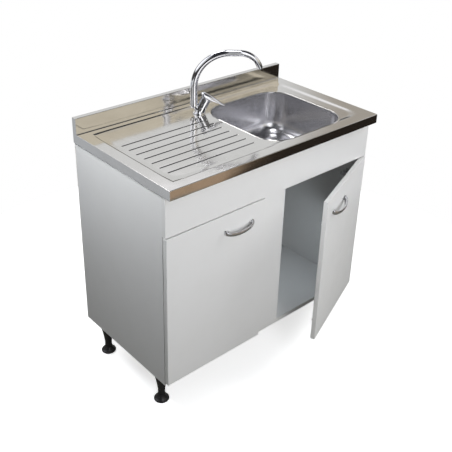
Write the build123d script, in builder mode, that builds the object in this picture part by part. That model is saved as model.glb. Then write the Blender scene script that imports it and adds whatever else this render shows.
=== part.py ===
"""Kitchen sink unit: a 900 x 500 mm pressed steel sink top with one bowl and a drainer,
on a white two-door base cabinet with four adjustable legs.

Millimetres, +Z up, +X to the right when facing the doors, +Y towards the wall.
The origin is on the floor, at the wall, in the middle of the unit's width.
"""

import math
import os

from build123d import *

# ---------------------------------------------------------------- driving dimensions
# sink top
top_width = 900.0
top_depth = 500.0
deck_height = 850.0
sheet = 0.8
edge_height = 31.5
top_corner_radius = 4.0
upstand_height = 54.5
upstand_thickness = 20.0
upstand_root_height = 4.0
recess_depth = 3.0
recess_side_margin = 38.0
recess_front_margin = 37.0
recess_back_margin = 44.0
recess_corner_radius = 8.0
ramp_side_width = 24.0
ramp_front_width = 23.0
ramp_back_width = 26.0
ramp_corner_radius = 45.0

# drainer grooves
groove_pitch = 38.5
groove_width = 5.0
groove_depth = 2.0
groove_side_gap = 5.0
groove_bowl_gap = 35.0
groove_back_gap = 102.0
groove_front_gap = 30.0

# bowl
bowl_width = 356.0
bowl_right_gap = 100.0
bowl_front_gap = 46.0
bowl_back_gap = 98.0
bowl_corner_radius = 84.0
bowl_depth = 150.0
bowl_taper = 5.0
bowl_floor_radius = 45.0
bowl_flange = 8.0
bead_width = 4.0
bead_height = 1.2
bowl_seat_margin = 5.5

# carcass
carcass_side_gap = 4.0
board = 16.0
back_board = 3.0
back_board_drop = 1.0
leg_height = 126.0
carcass_front_gap = 43.5
carcass_top_drop = 1.5
fascia_height = 136.0
rear_rail_height = 80.0
stile_overlap = 8.0
stile_bowl_gap = 6.0
board_edge_radius = 0.6
batten_side_width = 59.0
batten_rear_width = 59.0
batten_front_width = 35.0

# doors and their hinges
door_middle_gap = 100.0
door_bottom = 136.0
door_top_gap = 3.0
door_gap = 3.0
door_edge_radius = 1.9
door_open_angle = 22.0
pivot_from_edge = 7.5
pivot_from_inner_face = 7.0
hinge_from_bottom = 100.0
hinge_from_top = 90.0
cup_radius = 17.5
cup_wall = 0.8
cup_edge_distance = 3.0
cup_depth = 11.5
cup_flange_thickness = 1.0
cup_flange_height = 52.0
cup_flange_width = 30.0
cup_bore_clearance = 0.1
hinge_pin_radius = 1.5
hinge_pin_clearance = 0.05
hinge_eye_radius = 3.2
arm_bar_thickness = 3.6
arm_bar_height = 8.0
arm_bar_reach = 18.0
arm_body_height = 11.0
arm_body_thickness = 5.3
arm_body_start = 20.0
arm_body_length = 55.0
plate_thickness = 2.0
plate_height = 50.0
plate_width = 20.0
plate_setback = 37.0
rib_length = 44.0
rib_height = 12.0
plate_screw_spacing = 34.0
bumper_radius = 3.5
bumper_height = 2.7
bumper_inset = 80.0
bumper_edge_gap = 0.5

# handles
handle_length = 118.0
handle_projection = 24.0
handle_drop = 12.0
handle_band_width = 17.0
handle_band_thickness = 6.0
handle_screw_spacing = 92.0
handle_post_radius = 5.0
handle_root_angle = 6.0
handle_from_free_edge = 115.0
handle_from_top = 60.0
handle_screw_radius = 2.0
handle_screw_depth = 6.0

# screws
wood_screw_radius = 1.75
wood_screw_length = 12.0
screw_head_radius = 3.6
screw_head_height = 1.8
screw_hole_clearance = 0.1
bracket_leg = 34.0
bracket_width = 16.0
bracket_thickness = 2.0
bracket_front_inset = 60.0
bracket_rear_inset = 90.0

# legs
leg_side_inset = 36.0
leg_front_inset = 67.0
leg_plate_size = 66.0
leg_plate_thickness = 4.0
leg_top_radius = 27.0
leg_neck_radius = 12.0
leg_neck_height = 27.0
foot_radius = 26.0
foot_rim_height = 7.0
foot_shoulder_height = 13.0
foot_neck_radius = 13.0
foot_edge_radius = 2.0
foot_shoulder_swell = 3.0
foot_shoulder_rise = 3.0
foot_gap = 0.3
foot_screw_radius = 8.0
foot_screw_length = 44.0
foot_screw_clearance = 0.08

# waste and trap
waste_hole_radius = 45.0
waste_flange_radius = 57.0
waste_flange_thickness = 1.5
waste_cup_radius = 43.8
waste_cup_depth = 46.0
waste_wall = 2.0
tail_radius = 23.5
tail_length = 30.0
gasket_thickness = 3.0
waste_nut_radius = 56.0
waste_nut_height = 10.0
waste_nut_ribs = 8
waste_rib_radius = 2.0
thread_clearance = 0.15
basket_radius = 40.5
basket_depth = 30.0
basket_wall = 1.0
basket_rim = 4.5
basket_knob_radius = 7.0
basket_knob_height = 9.0
basket_stem_radius = 3.5
basket_ring_shares = (0.5, 0.8)
basket_slot_count = 12
basket_hole_radius = 2.4
basket_seat_gap = 0.3
pipe_radius = 20.0
pipe_wall = 1.8
union_nut_radius = 30.0
union_nut_height = 22.0
union_nut_web = 3.0
union_nut_ribs = 12
union_rib_radius = 2.0
trap_radius = 36.0
trap_body_height = 84.0
trap_body_drop = 40.0
trap_body_fillet = 8.0
trap_cup_radius = 40.0
trap_cup_height = 58.0
trap_cup_overlap = 18.0
trap_cup_fillet = 16.0
trap_cup_floor = 16.0
trap_cup_gap = 0.3
trap_outlet_drop = 26.0
trap_spout_length = 18.0
outlet_spigot_length = 20.0
outlet_stop_width = 3.0
outlet_stop_height = 2.0
back_hole_clearance = 11.0

# tap
tap_bowl_gap = 16.0
tap_back_gap = 107.0
tap_azimuth = -40.0
tap_hole_radius = 17.5
tap_gasket_thickness = 1.0
tap_base_radius = 22.0
tap_base_height = 4.0
tap_base_fillet = 1.5
column_offset = -18.0
column_radius = 13.0
column_height = 40.0
column_foot_fillet = 5.0
neck_radius = 10.0
neck_height = 32.0
neck_cover = 11.0
waist_radius = 16.0
waist_height = 14.0
housing_offset = 0.0
housing_tilt = 25.0
housing_radius = 16.5
housing_start = 10.0
housing_length = 50.0
cartridge_radius = 14.0
cartridge_clearance = 0.3
cartridge_depth = 20.0
spigot_radius = 8.0
spigot_length = 22.0
spigot_clearance = 0.06
spout_gap = 0.3
spout_root_radius = 13.0
spout_mid_radius = 11.0
spout_mid_share = 0.55
spout_tip_radius = 9.8
spout_bore_radius = 6.5
spout_rise = 52.0
spout_first_bend = 120.0
spout_flat = 32.0
spout_second_bend = 70.0
spout_tip_turn = 72.0
aerator_radius = 8.6
aerator_bore_radius = 6.0
aerator_depth = 8.0
aerator_stand = 3.0
aerator_clearance = 0.1
aerator_hole_pitch = 3.2
aerator_hole_radius = 1.0
aerator_hole_rows = 3
hub_radius = 17.0
hub_height = 9.0
hub_gap = 0.3
ear_width = 6.0
ear_height = 6.0
ear_length = 6.0
ear_offset = -9.0
ear_slot_radius = 4.7
ear_pin_radius = 1.5
ear_pin_reach = 3.0
lever_clearance = 0.4
lever_lift = 25.0
lever_length = 92.0
lever_overhang = 22.0
lever_root_width = 31.0
lever_tip_width = 12.0
lever_root_thickness = 10.0
lever_tip_thickness = 4.5
lever_edge_share = 0.45
lever_shoulder = 32.0
lever_heel_margin = 1.0
stem_radius = 4.0
stem_length = 3.0
stud_radius = 4.0
stud_length = 52.0
stud_offset = -9.0
inlet_radius = 4.5
inlet_depth = 12.0
inlet_spacing = 16.0
inlet_offset = 5.0
clamp_radius = 25.0
clamp_thickness = 3.0
clamp_opening_radius = 13.5
nut_across_flats = 13.0
nut_height = 8.0
locator_length = 0.6

# ---------------------------------------------------------------- worked-out places
deck_z = deck_height
recess_z = deck_z - recess_depth
skirt_z = deck_z - edge_height
under_recess_z = recess_z - sheet
carcass_top = skirt_z + carcass_top_drop
carcass_half = top_width / 2 - carcass_side_gap
inner_half = carcass_half - board
carcass_front = -(top_depth - carcass_front_gap)
carcass_back = -back_board
door_width = carcass_half - door_middle_gap / 2
stile_width = door_middle_gap + 2 * stile_overlap
door_top = carcass_top - fascia_height - door_top_gap
door_inner_y = carcass_front - door_gap
bowl_front = -(top_depth - bowl_front_gap)
bowl_length = top_depth - bowl_front_gap - bowl_back_gap
bowl_centre_y = bowl_front + bowl_length / 2
bowl_centre_x = top_width / 2 - bowl_right_gap - bowl_width / 2
bowl_floor_z = recess_z - bowl_depth
bowl_left = bowl_centre_x - bowl_width / 2
recess_width = top_width - 2 * recess_side_margin
recess_length = top_depth - recess_front_margin - recess_back_margin
recess_centre_y = -(recess_back_margin + recess_length / 2)
floor_width = recess_width - 2 * ramp_side_width
floor_length = recess_length - ramp_front_width - ramp_back_width
floor_back = -(recess_back_margin + ramp_back_width)
floor_centre_y = floor_back - floor_length / 2
groove_reach = floor_length - groove_back_gap - groove_front_gap
groove_count = int(groove_reach / groove_pitch) + 1
waste_x = bowl_centre_x
waste_y = bowl_centre_y
tap_x = bowl_left - tap_bowl_gap
tap_y = -tap_back_gap
hinge_heights = [door_bottom + hinge_from_bottom, door_top - hinge_from_top]


# ---------------------------------------------------------------- helpers
def finish(built, label):
    """Label a finished piece and write it to its own file."""
    built.part.label = label
    export_step(built.part, f"parts/{label}.step")


def slab(x0, x1, y0, y1, z0, z1, mode=Mode.ADD):
    """Add or cut a straight-sided block between six planes."""
    with BuildSketch(Plane.XY.offset(z0)) as outline:
        with Locations(((x0 + x1) / 2, (y0 + y1) / 2)):
            Rectangle(x1 - x0, y1 - y0)
    extrude(outline.sketch, amount=z1 - z0, mode=mode)


def disc(plane, radius, height, mode=Mode.ADD):
    """Add or cut a cylinder that stands on a plane."""
    with BuildSketch(plane) as outline:
        Circle(radius)
    extrude(outline.sketch, amount=height, mode=mode)


def ring(plane, outer_radius, inner_radius, height):
    """Add a plain ring that stands on a plane."""
    with BuildSketch(plane) as outline:
        Circle(outer_radius)
        Circle(inner_radius, mode=Mode.SUBTRACT)
    extrude(outline.sketch, amount=height)


def pan_screw(plane, shank_radius, shank_length, head_radius, head_height):
    """Add a pan-head screw: the head stands on the plane, the shank goes down from it."""
    disc(plane, head_radius, head_height)
    disc(plane, shank_radius, -shank_length)


def upright(x, y, z=0.0):
    """A level plane at a point."""
    return Plane(origin=(x, y, z), x_dir=(1, 0, 0), z_dir=(0, 0, 1))


class DoorFrame:
    """Places on a door, measured from its hinge pivot: u towards the free edge, v inwards."""

    def __init__(self, side, angle):
        self.side = side
        turn = math.radians(angle)
        self.along = Vector(-side * math.cos(turn), -math.sin(turn), 0)
        self.outward = Vector(side * math.sin(turn), -math.cos(turn), 0)
        pivot_y = door_inner_y - pivot_from_inner_face
        self.pivot = Vector(side * (carcass_half - pivot_from_edge), pivot_y, 0)

    def point(self, u, v, z):
        """The point u along the door, v inwards from the pivot and z up."""
        return self.pivot + self.along * u - self.outward * v + Vector(0, 0, z)

    def level(self, u, v, z):
        """A level plane whose x runs along the door."""
        return Plane(origin=self.point(u, v, z), x_dir=self.along, z_dir=(0, 0, 1))

    def facing(self, u, v, z):
        """A plane parallel to the door whose normal points outwards, with its y upwards."""
        return Plane(origin=self.point(u, v, z), x_dir=self.along * -self.side, z_dir=self.outward)

    def block(self, u0, u1, v0, v1, z0, z1, mode=Mode.ADD):
        """Add or cut a block between two values of u, v and z."""
        with BuildSketch(self.level((u0 + u1) / 2, (v0 + v1) / 2, z0)) as outline:
            Rectangle(u1 - u0, v1 - v0)
        extrude(outline.sketch, amount=z1 - z0, mode=mode)


left_closed = DoorFrame(-1, 0.0)
right_closed = DoorFrame(1, 0.0)
right_open = DoorFrame(1, door_open_angle)
frames_shut = {"left": left_closed, "right": right_closed}
frames_rest = {"left": left_closed, "right": right_open}
side_sign = {"left": -1, "right": 1}

os.makedirs("parts", exist_ok=True)


# ---------------------------------------------------------------- sink top
def bowl_outline(height, grow=0.0):
    """The bowl's rounded outline at a height, grown outwards by a distance."""
    with BuildSketch(Plane.XY.offset(height)) as outline:
        with Locations((bowl_centre_x, bowl_centre_y)):
            RectangleRounded(bowl_width + 2 * grow, bowl_length + 2 * grow, bowl_corner_radius + grow)
    return outline.sketch


def recess_cut(top):
    """Cut the sunken work area: sloped sides, a level floor and a seat around the bowl."""
    with BuildSketch(Plane.XY.offset(top)) as mouth:
        with Locations((0, recess_centre_y)):
            RectangleRounded(recess_width, recess_length, recess_corner_radius)
    with BuildSketch(Plane.XY.offset(top - recess_depth)) as level:
        with Locations((0, floor_centre_y)):
            RectangleRounded(floor_width, floor_length, ramp_corner_radius)
    loft([mouth.sketch, level.sketch], mode=Mode.SUBTRACT)
    seat = bowl_outline(top - recess_depth, bowl_seat_margin)
    extrude(seat, amount=recess_depth, mode=Mode.SUBTRACT)


def groove_cut(top, inset):
    """Cut the drainer grooves, widened by the inset on every side."""
    start = -floor_width / 2 + groove_side_gap
    end = bowl_left - groove_bowl_gap
    with BuildSketch(Plane.XY.offset(top - recess_depth)) as grooves:
        for index in range(groove_count):
            with Locations(((start + end) / 2, floor_back - groove_back_gap - index * groove_pitch)):
                SlotOverall(end - start + 2 * inset, groove_width + 2 * inset)
    extrude(grooves.sketch, amount=-groove_depth, mode=Mode.SUBTRACT)


def pressed_block(inset):
    """The top as a solid block, with every face moved inwards by the inset."""
    top = deck_z - inset
    half_width = top_width / 2 - inset
    with BuildPart() as block:
        with BuildSketch(Plane.XY.offset(skirt_z)):
            with Locations((0, -top_depth / 2)):
                RectangleRounded(2 * half_width, top_depth - 2 * inset, top_corner_radius - inset)
        extrude(amount=top - skirt_z)
        slab(
            -half_width,
            half_width,
            -upstand_thickness + inset,
            -inset,
            skirt_z + upstand_root_height,
            deck_z + upstand_height - inset,
        )
        recess_cut(top)
        groove_cut(top, inset)
    return block.part


outer_block = pressed_block(0.0)
inner_block = pressed_block(sheet)

with BuildPart() as sink_top:
    add(outer_block)
    add(inner_block, mode=Mode.SUBTRACT)
    extrude(bowl_outline(recess_z, bead_width), amount=bead_height)
    cut_height = recess_depth + groove_depth + bead_height
    extrude(bowl_outline(under_recess_z - groove_depth), amount=cut_height, mode=Mode.SUBTRACT)
    hole_plane = upright(tap_x, tap_y, under_recess_z - groove_depth)
    disc(hole_plane, tap_hole_radius, edge_height, Mode.SUBTRACT)
finish(sink_top, "sink_top")


# ---------------------------------------------------------------- bowl
def bowl_solid(inset):
    """The bowl's tapered block with a rounded floor, moved inwards by the inset."""
    with BuildPart() as block:
        drop = under_recess_z - bowl_floor_z + sheet - inset
        extrude(bowl_outline(under_recess_z, -inset), amount=-drop, taper=bowl_taper)
        floor_edges = block.edges().group_by(Axis.Z)[0]
        fillet(floor_edges, bowl_floor_radius - inset)
    return block.part


bowl_block = bowl_solid(0.0)
bowl_void = bowl_solid(sheet)

with BuildPart() as sink_bowl:
    add(bowl_block)
    extrude(bowl_outline(under_recess_z - sheet, bowl_flange), amount=sheet)
    add(bowl_void, mode=Mode.SUBTRACT)
    waste_plane = upright(waste_x, waste_y, bowl_floor_z - bowl_floor_radius)
    disc(waste_plane, waste_hole_radius, 2 * bowl_floor_radius, Mode.SUBTRACT)
finish(sink_bowl, "sink_bowl")

# ---------------------------------------------------------------- battens under the top
batten_outer_x = top_width / 2 - sheet
batten_front_y = -top_depth + sheet
batten_rear_y = -sheet
batten_rear_front = batten_rear_y - batten_rear_width
batten_front_back = batten_front_y + batten_front_width
screw_hole_radius = wood_screw_radius + screw_hole_clearance
bracket_ys = [carcass_front + bracket_front_inset, carcass_back - bracket_rear_inset]
bracket_screw_reach = bracket_leg - bracket_width / 2

with BuildPart() as batten_front:
    slab(-batten_outer_x, batten_outer_x, batten_front_y, batten_front_back, carcass_top, under_recess_z)
    fillet(
        batten_front.edges().filter_by(Axis.Z).group_by(Axis.Y)[0],
        top_corner_radius,
    )
finish(batten_front, "batten_front")

with BuildPart() as batten_rear:
    slab(-batten_outer_x, batten_outer_x, batten_rear_front, batten_rear_y, carcass_top, under_recess_z)
    fillet(
        batten_rear.edges().filter_by(Axis.Z).group_by(Axis.Y)[-1],
        top_corner_radius,
    )
finish(batten_rear, "batten_rear")

for side, sign in side_sign.items():
    outer = sign * batten_outer_x
    inner = sign * (batten_outer_x - batten_side_width)
    with BuildPart() as batten_side:
        slab(
            min(outer, inner),
            max(outer, inner),
            batten_front_back,
            batten_rear_front,
            carcass_top,
            under_recess_z,
        )
        for y in bracket_ys:
            hole_plane = upright(sign * (inner_half - bracket_screw_reach), y, carcass_top)
            disc(hole_plane, screw_hole_radius, wood_screw_length, Mode.SUBTRACT)
    finish(batten_side, f"batten_{side}")


# ---------------------------------------------------------------- carcass
def plate_screw_places(frame):
    """The planes of one door's hinge plate screws, facing away from the side panel."""
    across = inner_half - (carcass_half - pivot_from_edge)
    u = -across + plate_thickness
    v = pivot_from_inner_face + door_gap + plate_setback
    places = []
    for height in hinge_heights:
        for step in (-0.5, 0.5):
            place = frame.point(u, v, height + step * plate_screw_spacing)
            places.append(Plane(origin=place, x_dir=(0, 0, 1), z_dir=frame.along))
    return places


for side, sign in side_sign.items():
    outer = sign * carcass_half
    inner = sign * inner_half
    with BuildPart() as side_panel:
        slab(min(outer, inner), max(outer, inner), carcass_front, carcass_back, leg_height, carcass_top)
        fillet(side_panel.edges().filter_by(Axis.Z), board_edge_radius)
        for place in plate_screw_places(frames_shut[side]):
            disc(place, screw_hole_radius, -(wood_screw_length + plate_thickness), Mode.SUBTRACT)
        for y in bracket_ys:
            hole_place = Plane(
                origin=(inner, y, carcass_top - bracket_screw_reach),
                x_dir=(0, 1, 0),
                z_dir=(sign, 0, 0),
            )
            disc(hole_place, screw_hole_radius, wood_screw_length, Mode.SUBTRACT)
    finish(side_panel, f"side_panel_{side}")

leg_places = {
    "front_left": (-(carcass_half - leg_side_inset), carcass_front + leg_front_inset),
    "front_right": (carcass_half - leg_side_inset, carcass_front + leg_front_inset),
    "rear_left": (-(carcass_half - leg_side_inset), carcass_back - leg_front_inset),
    "rear_right": (carcass_half - leg_side_inset, carcass_back - leg_front_inset),
}

with BuildPart() as bottom_panel:
    slab(-inner_half, inner_half, carcass_front, carcass_back, leg_height, leg_height + board)
finish(bottom_panel, "bottom_panel")

with BuildPart() as rear_rail:
    slab(
        -inner_half,
        inner_half,
        carcass_back - board,
        carcass_back,
        carcass_top - rear_rail_height,
        carcass_top,
    )
finish(rear_rail, "rear_rail")

with BuildPart() as front_fascia:
    slab(
        -carcass_half,
        carcass_half,
        carcass_front - board,
        carcass_front,
        carcass_top - fascia_height,
        carcass_top,
    )
    fillet(front_fascia.edges().filter_by(Axis.Z).group_by(Axis.Y)[0], board_edge_radius)
finish(front_fascia, "front_fascia")

stile_left = -stile_width / 2
stile_back = carcass_front + board
stile_shoulder_z = bowl_floor_z - sheet - stile_bowl_gap
with BuildPart() as centre_stile:
    slab(stile_left, -stile_left, carcass_front, stile_back, leg_height + board, stile_shoulder_z)
    slab(stile_left, bowl_left - stile_bowl_gap, carcass_front, stile_back, stile_shoulder_z, carcass_top)
finish(centre_stile, "centre_stile")

# ---------------------------------------------------------------- waste, trap and back panel
waste_top = bowl_floor_z + waste_flange_thickness
cup_bottom_z = waste_top - waste_cup_depth
tail_bottom_z = cup_bottom_z - tail_length
bowl_underside = bowl_floor_z - sheet
tail_bore_radius = tail_radius - waste_wall

with BuildPart() as waste_body:
    disc(upright(waste_x, waste_y, bowl_floor_z), waste_flange_radius, waste_flange_thickness)
    disc(upright(waste_x, waste_y, cup_bottom_z), waste_cup_radius, waste_top - cup_bottom_z)
    disc(upright(waste_x, waste_y, tail_bottom_z), tail_radius, tail_length)
    cup_floor = upright(waste_x, waste_y, cup_bottom_z + waste_wall)
    disc(cup_floor, waste_cup_radius - waste_wall, waste_cup_depth, Mode.SUBTRACT)
    disc(upright(waste_x, waste_y, tail_bottom_z), tail_bore_radius, waste_cup_depth, Mode.SUBTRACT)
finish(waste_body, "waste_body")

with BuildPart() as waste_gasket:
    gasket_plane = upright(waste_x, waste_y, bowl_underside - gasket_thickness)
    ring(gasket_plane, waste_flange_radius, waste_cup_radius + thread_clearance, gasket_thickness)
finish(waste_gasket, "waste_gasket")

with BuildPart() as waste_nut:
    nut_plane = upright(waste_x, waste_y, bowl_underside - gasket_thickness - waste_nut_height)
    ring(nut_plane, waste_nut_radius, waste_cup_radius + thread_clearance, waste_nut_height)
    with BuildSketch(nut_plane):
        with PolarLocations(waste_nut_radius, waste_nut_ribs):
            Circle(waste_rib_radius)
    extrude(amount=waste_nut_height)
finish(waste_nut, "waste_nut")

basket_floor_z = waste_top + basket_seat_gap + basket_wall - basket_depth
with BuildPart() as strainer_basket:
    basket_rim_z = waste_top + basket_seat_gap
    disc(upright(waste_x, waste_y, basket_rim_z), basket_radius + basket_rim, basket_wall)
    disc(upright(waste_x, waste_y, basket_floor_z), basket_radius, basket_rim_z - basket_floor_z)
    disc(
        upright(waste_x, waste_y, basket_floor_z + basket_wall),
        basket_radius - basket_wall,
        basket_depth + basket_wall,
        Mode.SUBTRACT,
    )
    with BuildSketch(upright(waste_x, waste_y, basket_floor_z)):
        for share in basket_ring_shares:
            with PolarLocations(basket_radius * share, basket_slot_count):
                Circle(basket_hole_radius)
    extrude(amount=basket_wall, mode=Mode.SUBTRACT)
    disc(upright(waste_x, waste_y, basket_floor_z), basket_stem_radius, basket_depth)
    knob_plane = upright(waste_x, waste_y, basket_floor_z + basket_depth - basket_knob_height)
    disc(knob_plane, basket_knob_radius, basket_knob_height)
finish(strainer_basket, "strainer_basket")

# the inlet tube hangs from the union nut under the waste tail
nut_bottom_z = tail_bottom_z - union_nut_web - pipe_wall
trap_top_z = nut_bottom_z - trap_body_drop
trap_bottom_z = trap_top_z - trap_body_height
pipe_bore_radius = pipe_radius - pipe_wall
outlet_z = trap_top_z - trap_outlet_drop

with BuildPart() as trap_inlet_nut:
    ring(
        upright(waste_x, waste_y, nut_bottom_z),
        union_nut_radius,
        pipe_radius + thread_clearance,
        union_nut_height,
    )
    nut_thread_plane = upright(waste_x, waste_y, nut_bottom_z + union_nut_web)
    disc(nut_thread_plane, tail_radius + thread_clearance, union_nut_height, Mode.SUBTRACT)
    with BuildSketch(upright(waste_x, waste_y, nut_bottom_z)):
        with PolarLocations(union_nut_radius, union_nut_ribs):
            Circle(union_rib_radius)
    extrude(amount=union_nut_height - union_nut_web)
finish(trap_inlet_nut, "trap_inlet_nut")

with BuildPart() as trap_inlet_tube:
    tube_length = tail_bottom_z - trap_bottom_z
    ring(upright(waste_x, waste_y, trap_bottom_z), pipe_radius, pipe_bore_radius, tube_length)
    ring(
        upright(waste_x, waste_y, tail_bottom_z - pipe_wall),
        tail_radius,
        pipe_bore_radius,
        pipe_wall,
    )
finish(trap_inlet_tube, "trap_inlet_tube")

outlet_start_y = waste_y + trap_radius + trap_spout_length
outlet_plane = Plane(origin=(waste_x, outlet_start_y, outlet_z), x_dir=(1, 0, 0), z_dir=(0, 1, 0))
spout_socket_plane = Plane(origin=(waste_x, waste_y, outlet_z), x_dir=(1, 0, 0), z_dir=(0, 1, 0))

with BuildPart() as trap_body:
    disc(upright(waste_x, waste_y, trap_bottom_z), trap_radius, trap_body_height)
    fillet(trap_body.edges().group_by(Axis.Z)[-1], trap_body_fillet)
    disc(spout_socket_plane, tail_radius, trap_radius + trap_spout_length)
    disc(
        upright(waste_x, waste_y, trap_bottom_z),
        trap_radius - waste_wall,
        trap_body_height - 2 * waste_wall,
        Mode.SUBTRACT,
    )
    disc(
        upright(waste_x, waste_y, trap_bottom_z),
        pipe_radius + thread_clearance,
        trap_body_height,
        Mode.SUBTRACT,
    )
    disc(
        spout_socket_plane.offset(pipe_radius + 2 * waste_wall),
        tail_bore_radius,
        trap_radius + trap_spout_length,
        Mode.SUBTRACT,
    )
finish(trap_body, "trap_body")

with BuildPart() as trap_cup:
    cup_base_z = trap_bottom_z + trap_cup_overlap - trap_cup_height
    disc(upright(waste_x, waste_y, cup_base_z), trap_cup_radius, trap_cup_height)
    fillet(trap_cup.edges().group_by(Axis.Z)[0], trap_cup_fillet)
    disc(
        upright(waste_x, waste_y, trap_bottom_z - trap_cup_gap),
        trap_radius + thread_clearance,
        trap_cup_overlap + trap_cup_gap,
        Mode.SUBTRACT,
    )
    disc(
        upright(waste_x, waste_y, cup_base_z + trap_cup_floor),
        trap_radius - waste_wall,
        trap_cup_height,
        Mode.SUBTRACT,
    )
finish(trap_cup, "trap_cup")

with BuildPart() as trap_outlet_nut:
    outlet_nut_plane = outlet_plane.offset(union_nut_web + pipe_wall - union_nut_height)
    ring(outlet_nut_plane, union_nut_radius, pipe_radius + thread_clearance, union_nut_height)
    disc(outlet_nut_plane, tail_radius + thread_clearance, union_nut_height - union_nut_web, Mode.SUBTRACT)
    with BuildSketch(outlet_nut_plane.offset(union_nut_web)):
        with PolarLocations(union_nut_radius, union_nut_ribs):
            Circle(union_rib_radius)
    extrude(amount=union_nut_height - union_nut_web)
finish(trap_outlet_nut, "trap_outlet_nut")

with BuildPart() as trap_outlet_tube:
    ring(outlet_plane, pipe_radius, pipe_bore_radius, -outlet_start_y)
    ring(outlet_plane, tail_radius, pipe_bore_radius, pipe_wall)
    stop_start = -outlet_start_y - outlet_spigot_length - outlet_stop_width
    stop_radius = pipe_radius + outlet_stop_height
    ring(outlet_plane.offset(stop_start), stop_radius, pipe_bore_radius, outlet_stop_width)
finish(trap_outlet_tube, "trap_outlet_tube")

with BuildPart() as back_panel:
    slab(-carcass_half, carcass_half, carcass_back, 0, leg_height, skirt_z - back_board_drop)
    disc(
        Plane(origin=(waste_x, carcass_back, outlet_z), x_dir=(1, 0, 0), z_dir=(0, 1, 0)),
        pipe_radius + back_hole_clearance,
        back_board,
        Mode.SUBTRACT,
    )
finish(back_panel, "back_panel")

# ---------------------------------------------------------------- brackets that hold the top
with BuildPart() as corner_brackets:
    for sign in side_sign.values():
        for y in bracket_ys:
            y0 = y - bracket_width / 2
            y1 = y + bracket_width / 2
            face = sign * inner_half
            leg_x = sign * (inner_half - bracket_thickness)
            arm_x = sign * (inner_half - bracket_leg)
            leg_bottom = carcass_top - bracket_leg
            slab(min(face, leg_x), max(face, leg_x), y0, y1, leg_bottom, carcass_top)
            slab(min(face, arm_x), max(face, arm_x), y0, y1, carcass_top - bracket_thickness, carcass_top)
            hole_place = Plane(
                origin=(sign * inner_half, y, carcass_top - bracket_screw_reach),
                x_dir=(0, 1, 0),
                z_dir=(-sign, 0, 0),
            )
            disc(hole_place, screw_hole_radius, bracket_thickness, Mode.SUBTRACT)
            up_place = upright(
                sign * (inner_half - bracket_screw_reach), y, carcass_top - bracket_thickness
            )
            disc(up_place, screw_hole_radius, bracket_thickness, Mode.SUBTRACT)
finish(corner_brackets, "corner_brackets")

bracket_shank = wood_screw_length - screw_hole_clearance + bracket_thickness
with BuildPart() as bracket_screws:
    for sign in side_sign.values():
        for y in bracket_ys:
            side_place = Plane(
                origin=(sign * (inner_half - bracket_thickness), y, carcass_top - bracket_screw_reach),
                x_dir=(0, 1, 0),
                z_dir=(-sign, 0, 0),
            )
            up_place = Plane(
                origin=(
                    sign * (inner_half - bracket_screw_reach),
                    y,
                    carcass_top - bracket_thickness,
                ),
                x_dir=(1, 0, 0),
                z_dir=(0, 0, -1),
            )
            for place in (side_place, up_place):
                pan_screw(place, wood_screw_radius, bracket_shank, screw_head_radius, screw_head_height)
finish(bracket_screws, "bracket_screws")

# ---------------------------------------------------------------- legs and feet
foot_stem_top = foot_screw_length + leg_neck_height
for label, (x, y) in leg_places.items():
    with BuildPart() as leg:
        with BuildSketch(Plane(origin=(x, y, 0), x_dir=(1, 0, 0), z_dir=(0, -1, 0))):
            with BuildLine():
                plate_z = leg_height - leg_plate_thickness
                Line((0, leg_neck_height), (leg_neck_radius, leg_neck_height))
                Spline(
                    (leg_neck_radius, leg_neck_height),
                    (leg_top_radius, plate_z),
                    tangents=[(0.02, 1), (0.25, 1)],
                )
                Line((leg_top_radius, plate_z), (0, plate_z))
                Line((0, plate_z), (0, leg_neck_height))
            make_face()
        revolve(axis=Axis((x, y, 0), (0, 0, 1)))
        with BuildSketch(upright(x, y, plate_z)):
            RectangleRounded(leg_plate_size, leg_plate_size, leg_plate_thickness)
        extrude(amount=leg_plate_thickness)
        disc(
            upright(x, y, leg_neck_height),
            foot_screw_radius + foot_screw_clearance,
            foot_screw_length + 2 * foot_gap,
            Mode.SUBTRACT,
        )
    finish(leg, f"leg_{label}")

    with BuildPart() as foot:
        with BuildSketch(Plane(origin=(x, y, 0), x_dir=(1, 0, 0), z_dir=(0, -1, 0))):
            with BuildLine():
                neck_z = leg_neck_height - foot_gap
                Line((0, 0), (foot_radius - foot_edge_radius, 0))
                ThreePointArc(
                    (foot_radius - foot_edge_radius, 0),
                    (foot_radius, foot_rim_height / 2),
                    (foot_radius - foot_edge_radius, foot_rim_height),
                )
                Spline(
                    (foot_radius - foot_edge_radius, foot_rim_height),
                    (foot_neck_radius + foot_shoulder_swell, foot_shoulder_height + foot_shoulder_rise),
                    (foot_neck_radius, neck_z),
                    tangents=[(-0.8, 0.4), (0, 1)],
                )
                Line((foot_neck_radius, neck_z), (foot_screw_radius, neck_z))
                Line((foot_screw_radius, neck_z), (foot_screw_radius, foot_stem_top))
                Line((foot_screw_radius, foot_stem_top), (0, foot_stem_top))
                Line((0, foot_stem_top), (0, 0))
            make_face()
        revolve(axis=Axis((x, y, 0), (0, 0, 1)))
    finish(foot, f"foot_{label}")

# ---------------------------------------------------------------- doors, handles, hinges
outer_edge_u = -pivot_from_edge
free_edge_u = door_width - pivot_from_edge
inner_face_v = pivot_from_inner_face
outer_face_v = pivot_from_inner_face - board
cup_centre_u = outer_edge_u + cup_edge_distance + cup_radius
handle_u = free_edge_u - handle_from_free_edge
handle_z = door_top - handle_from_top
bumper_zs = [door_bottom + bumper_inset, door_top - bumper_inset]
bumper_u = free_edge_u - bumper_radius - bumper_edge_gap
side_face_u = board - pivot_from_edge

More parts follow.
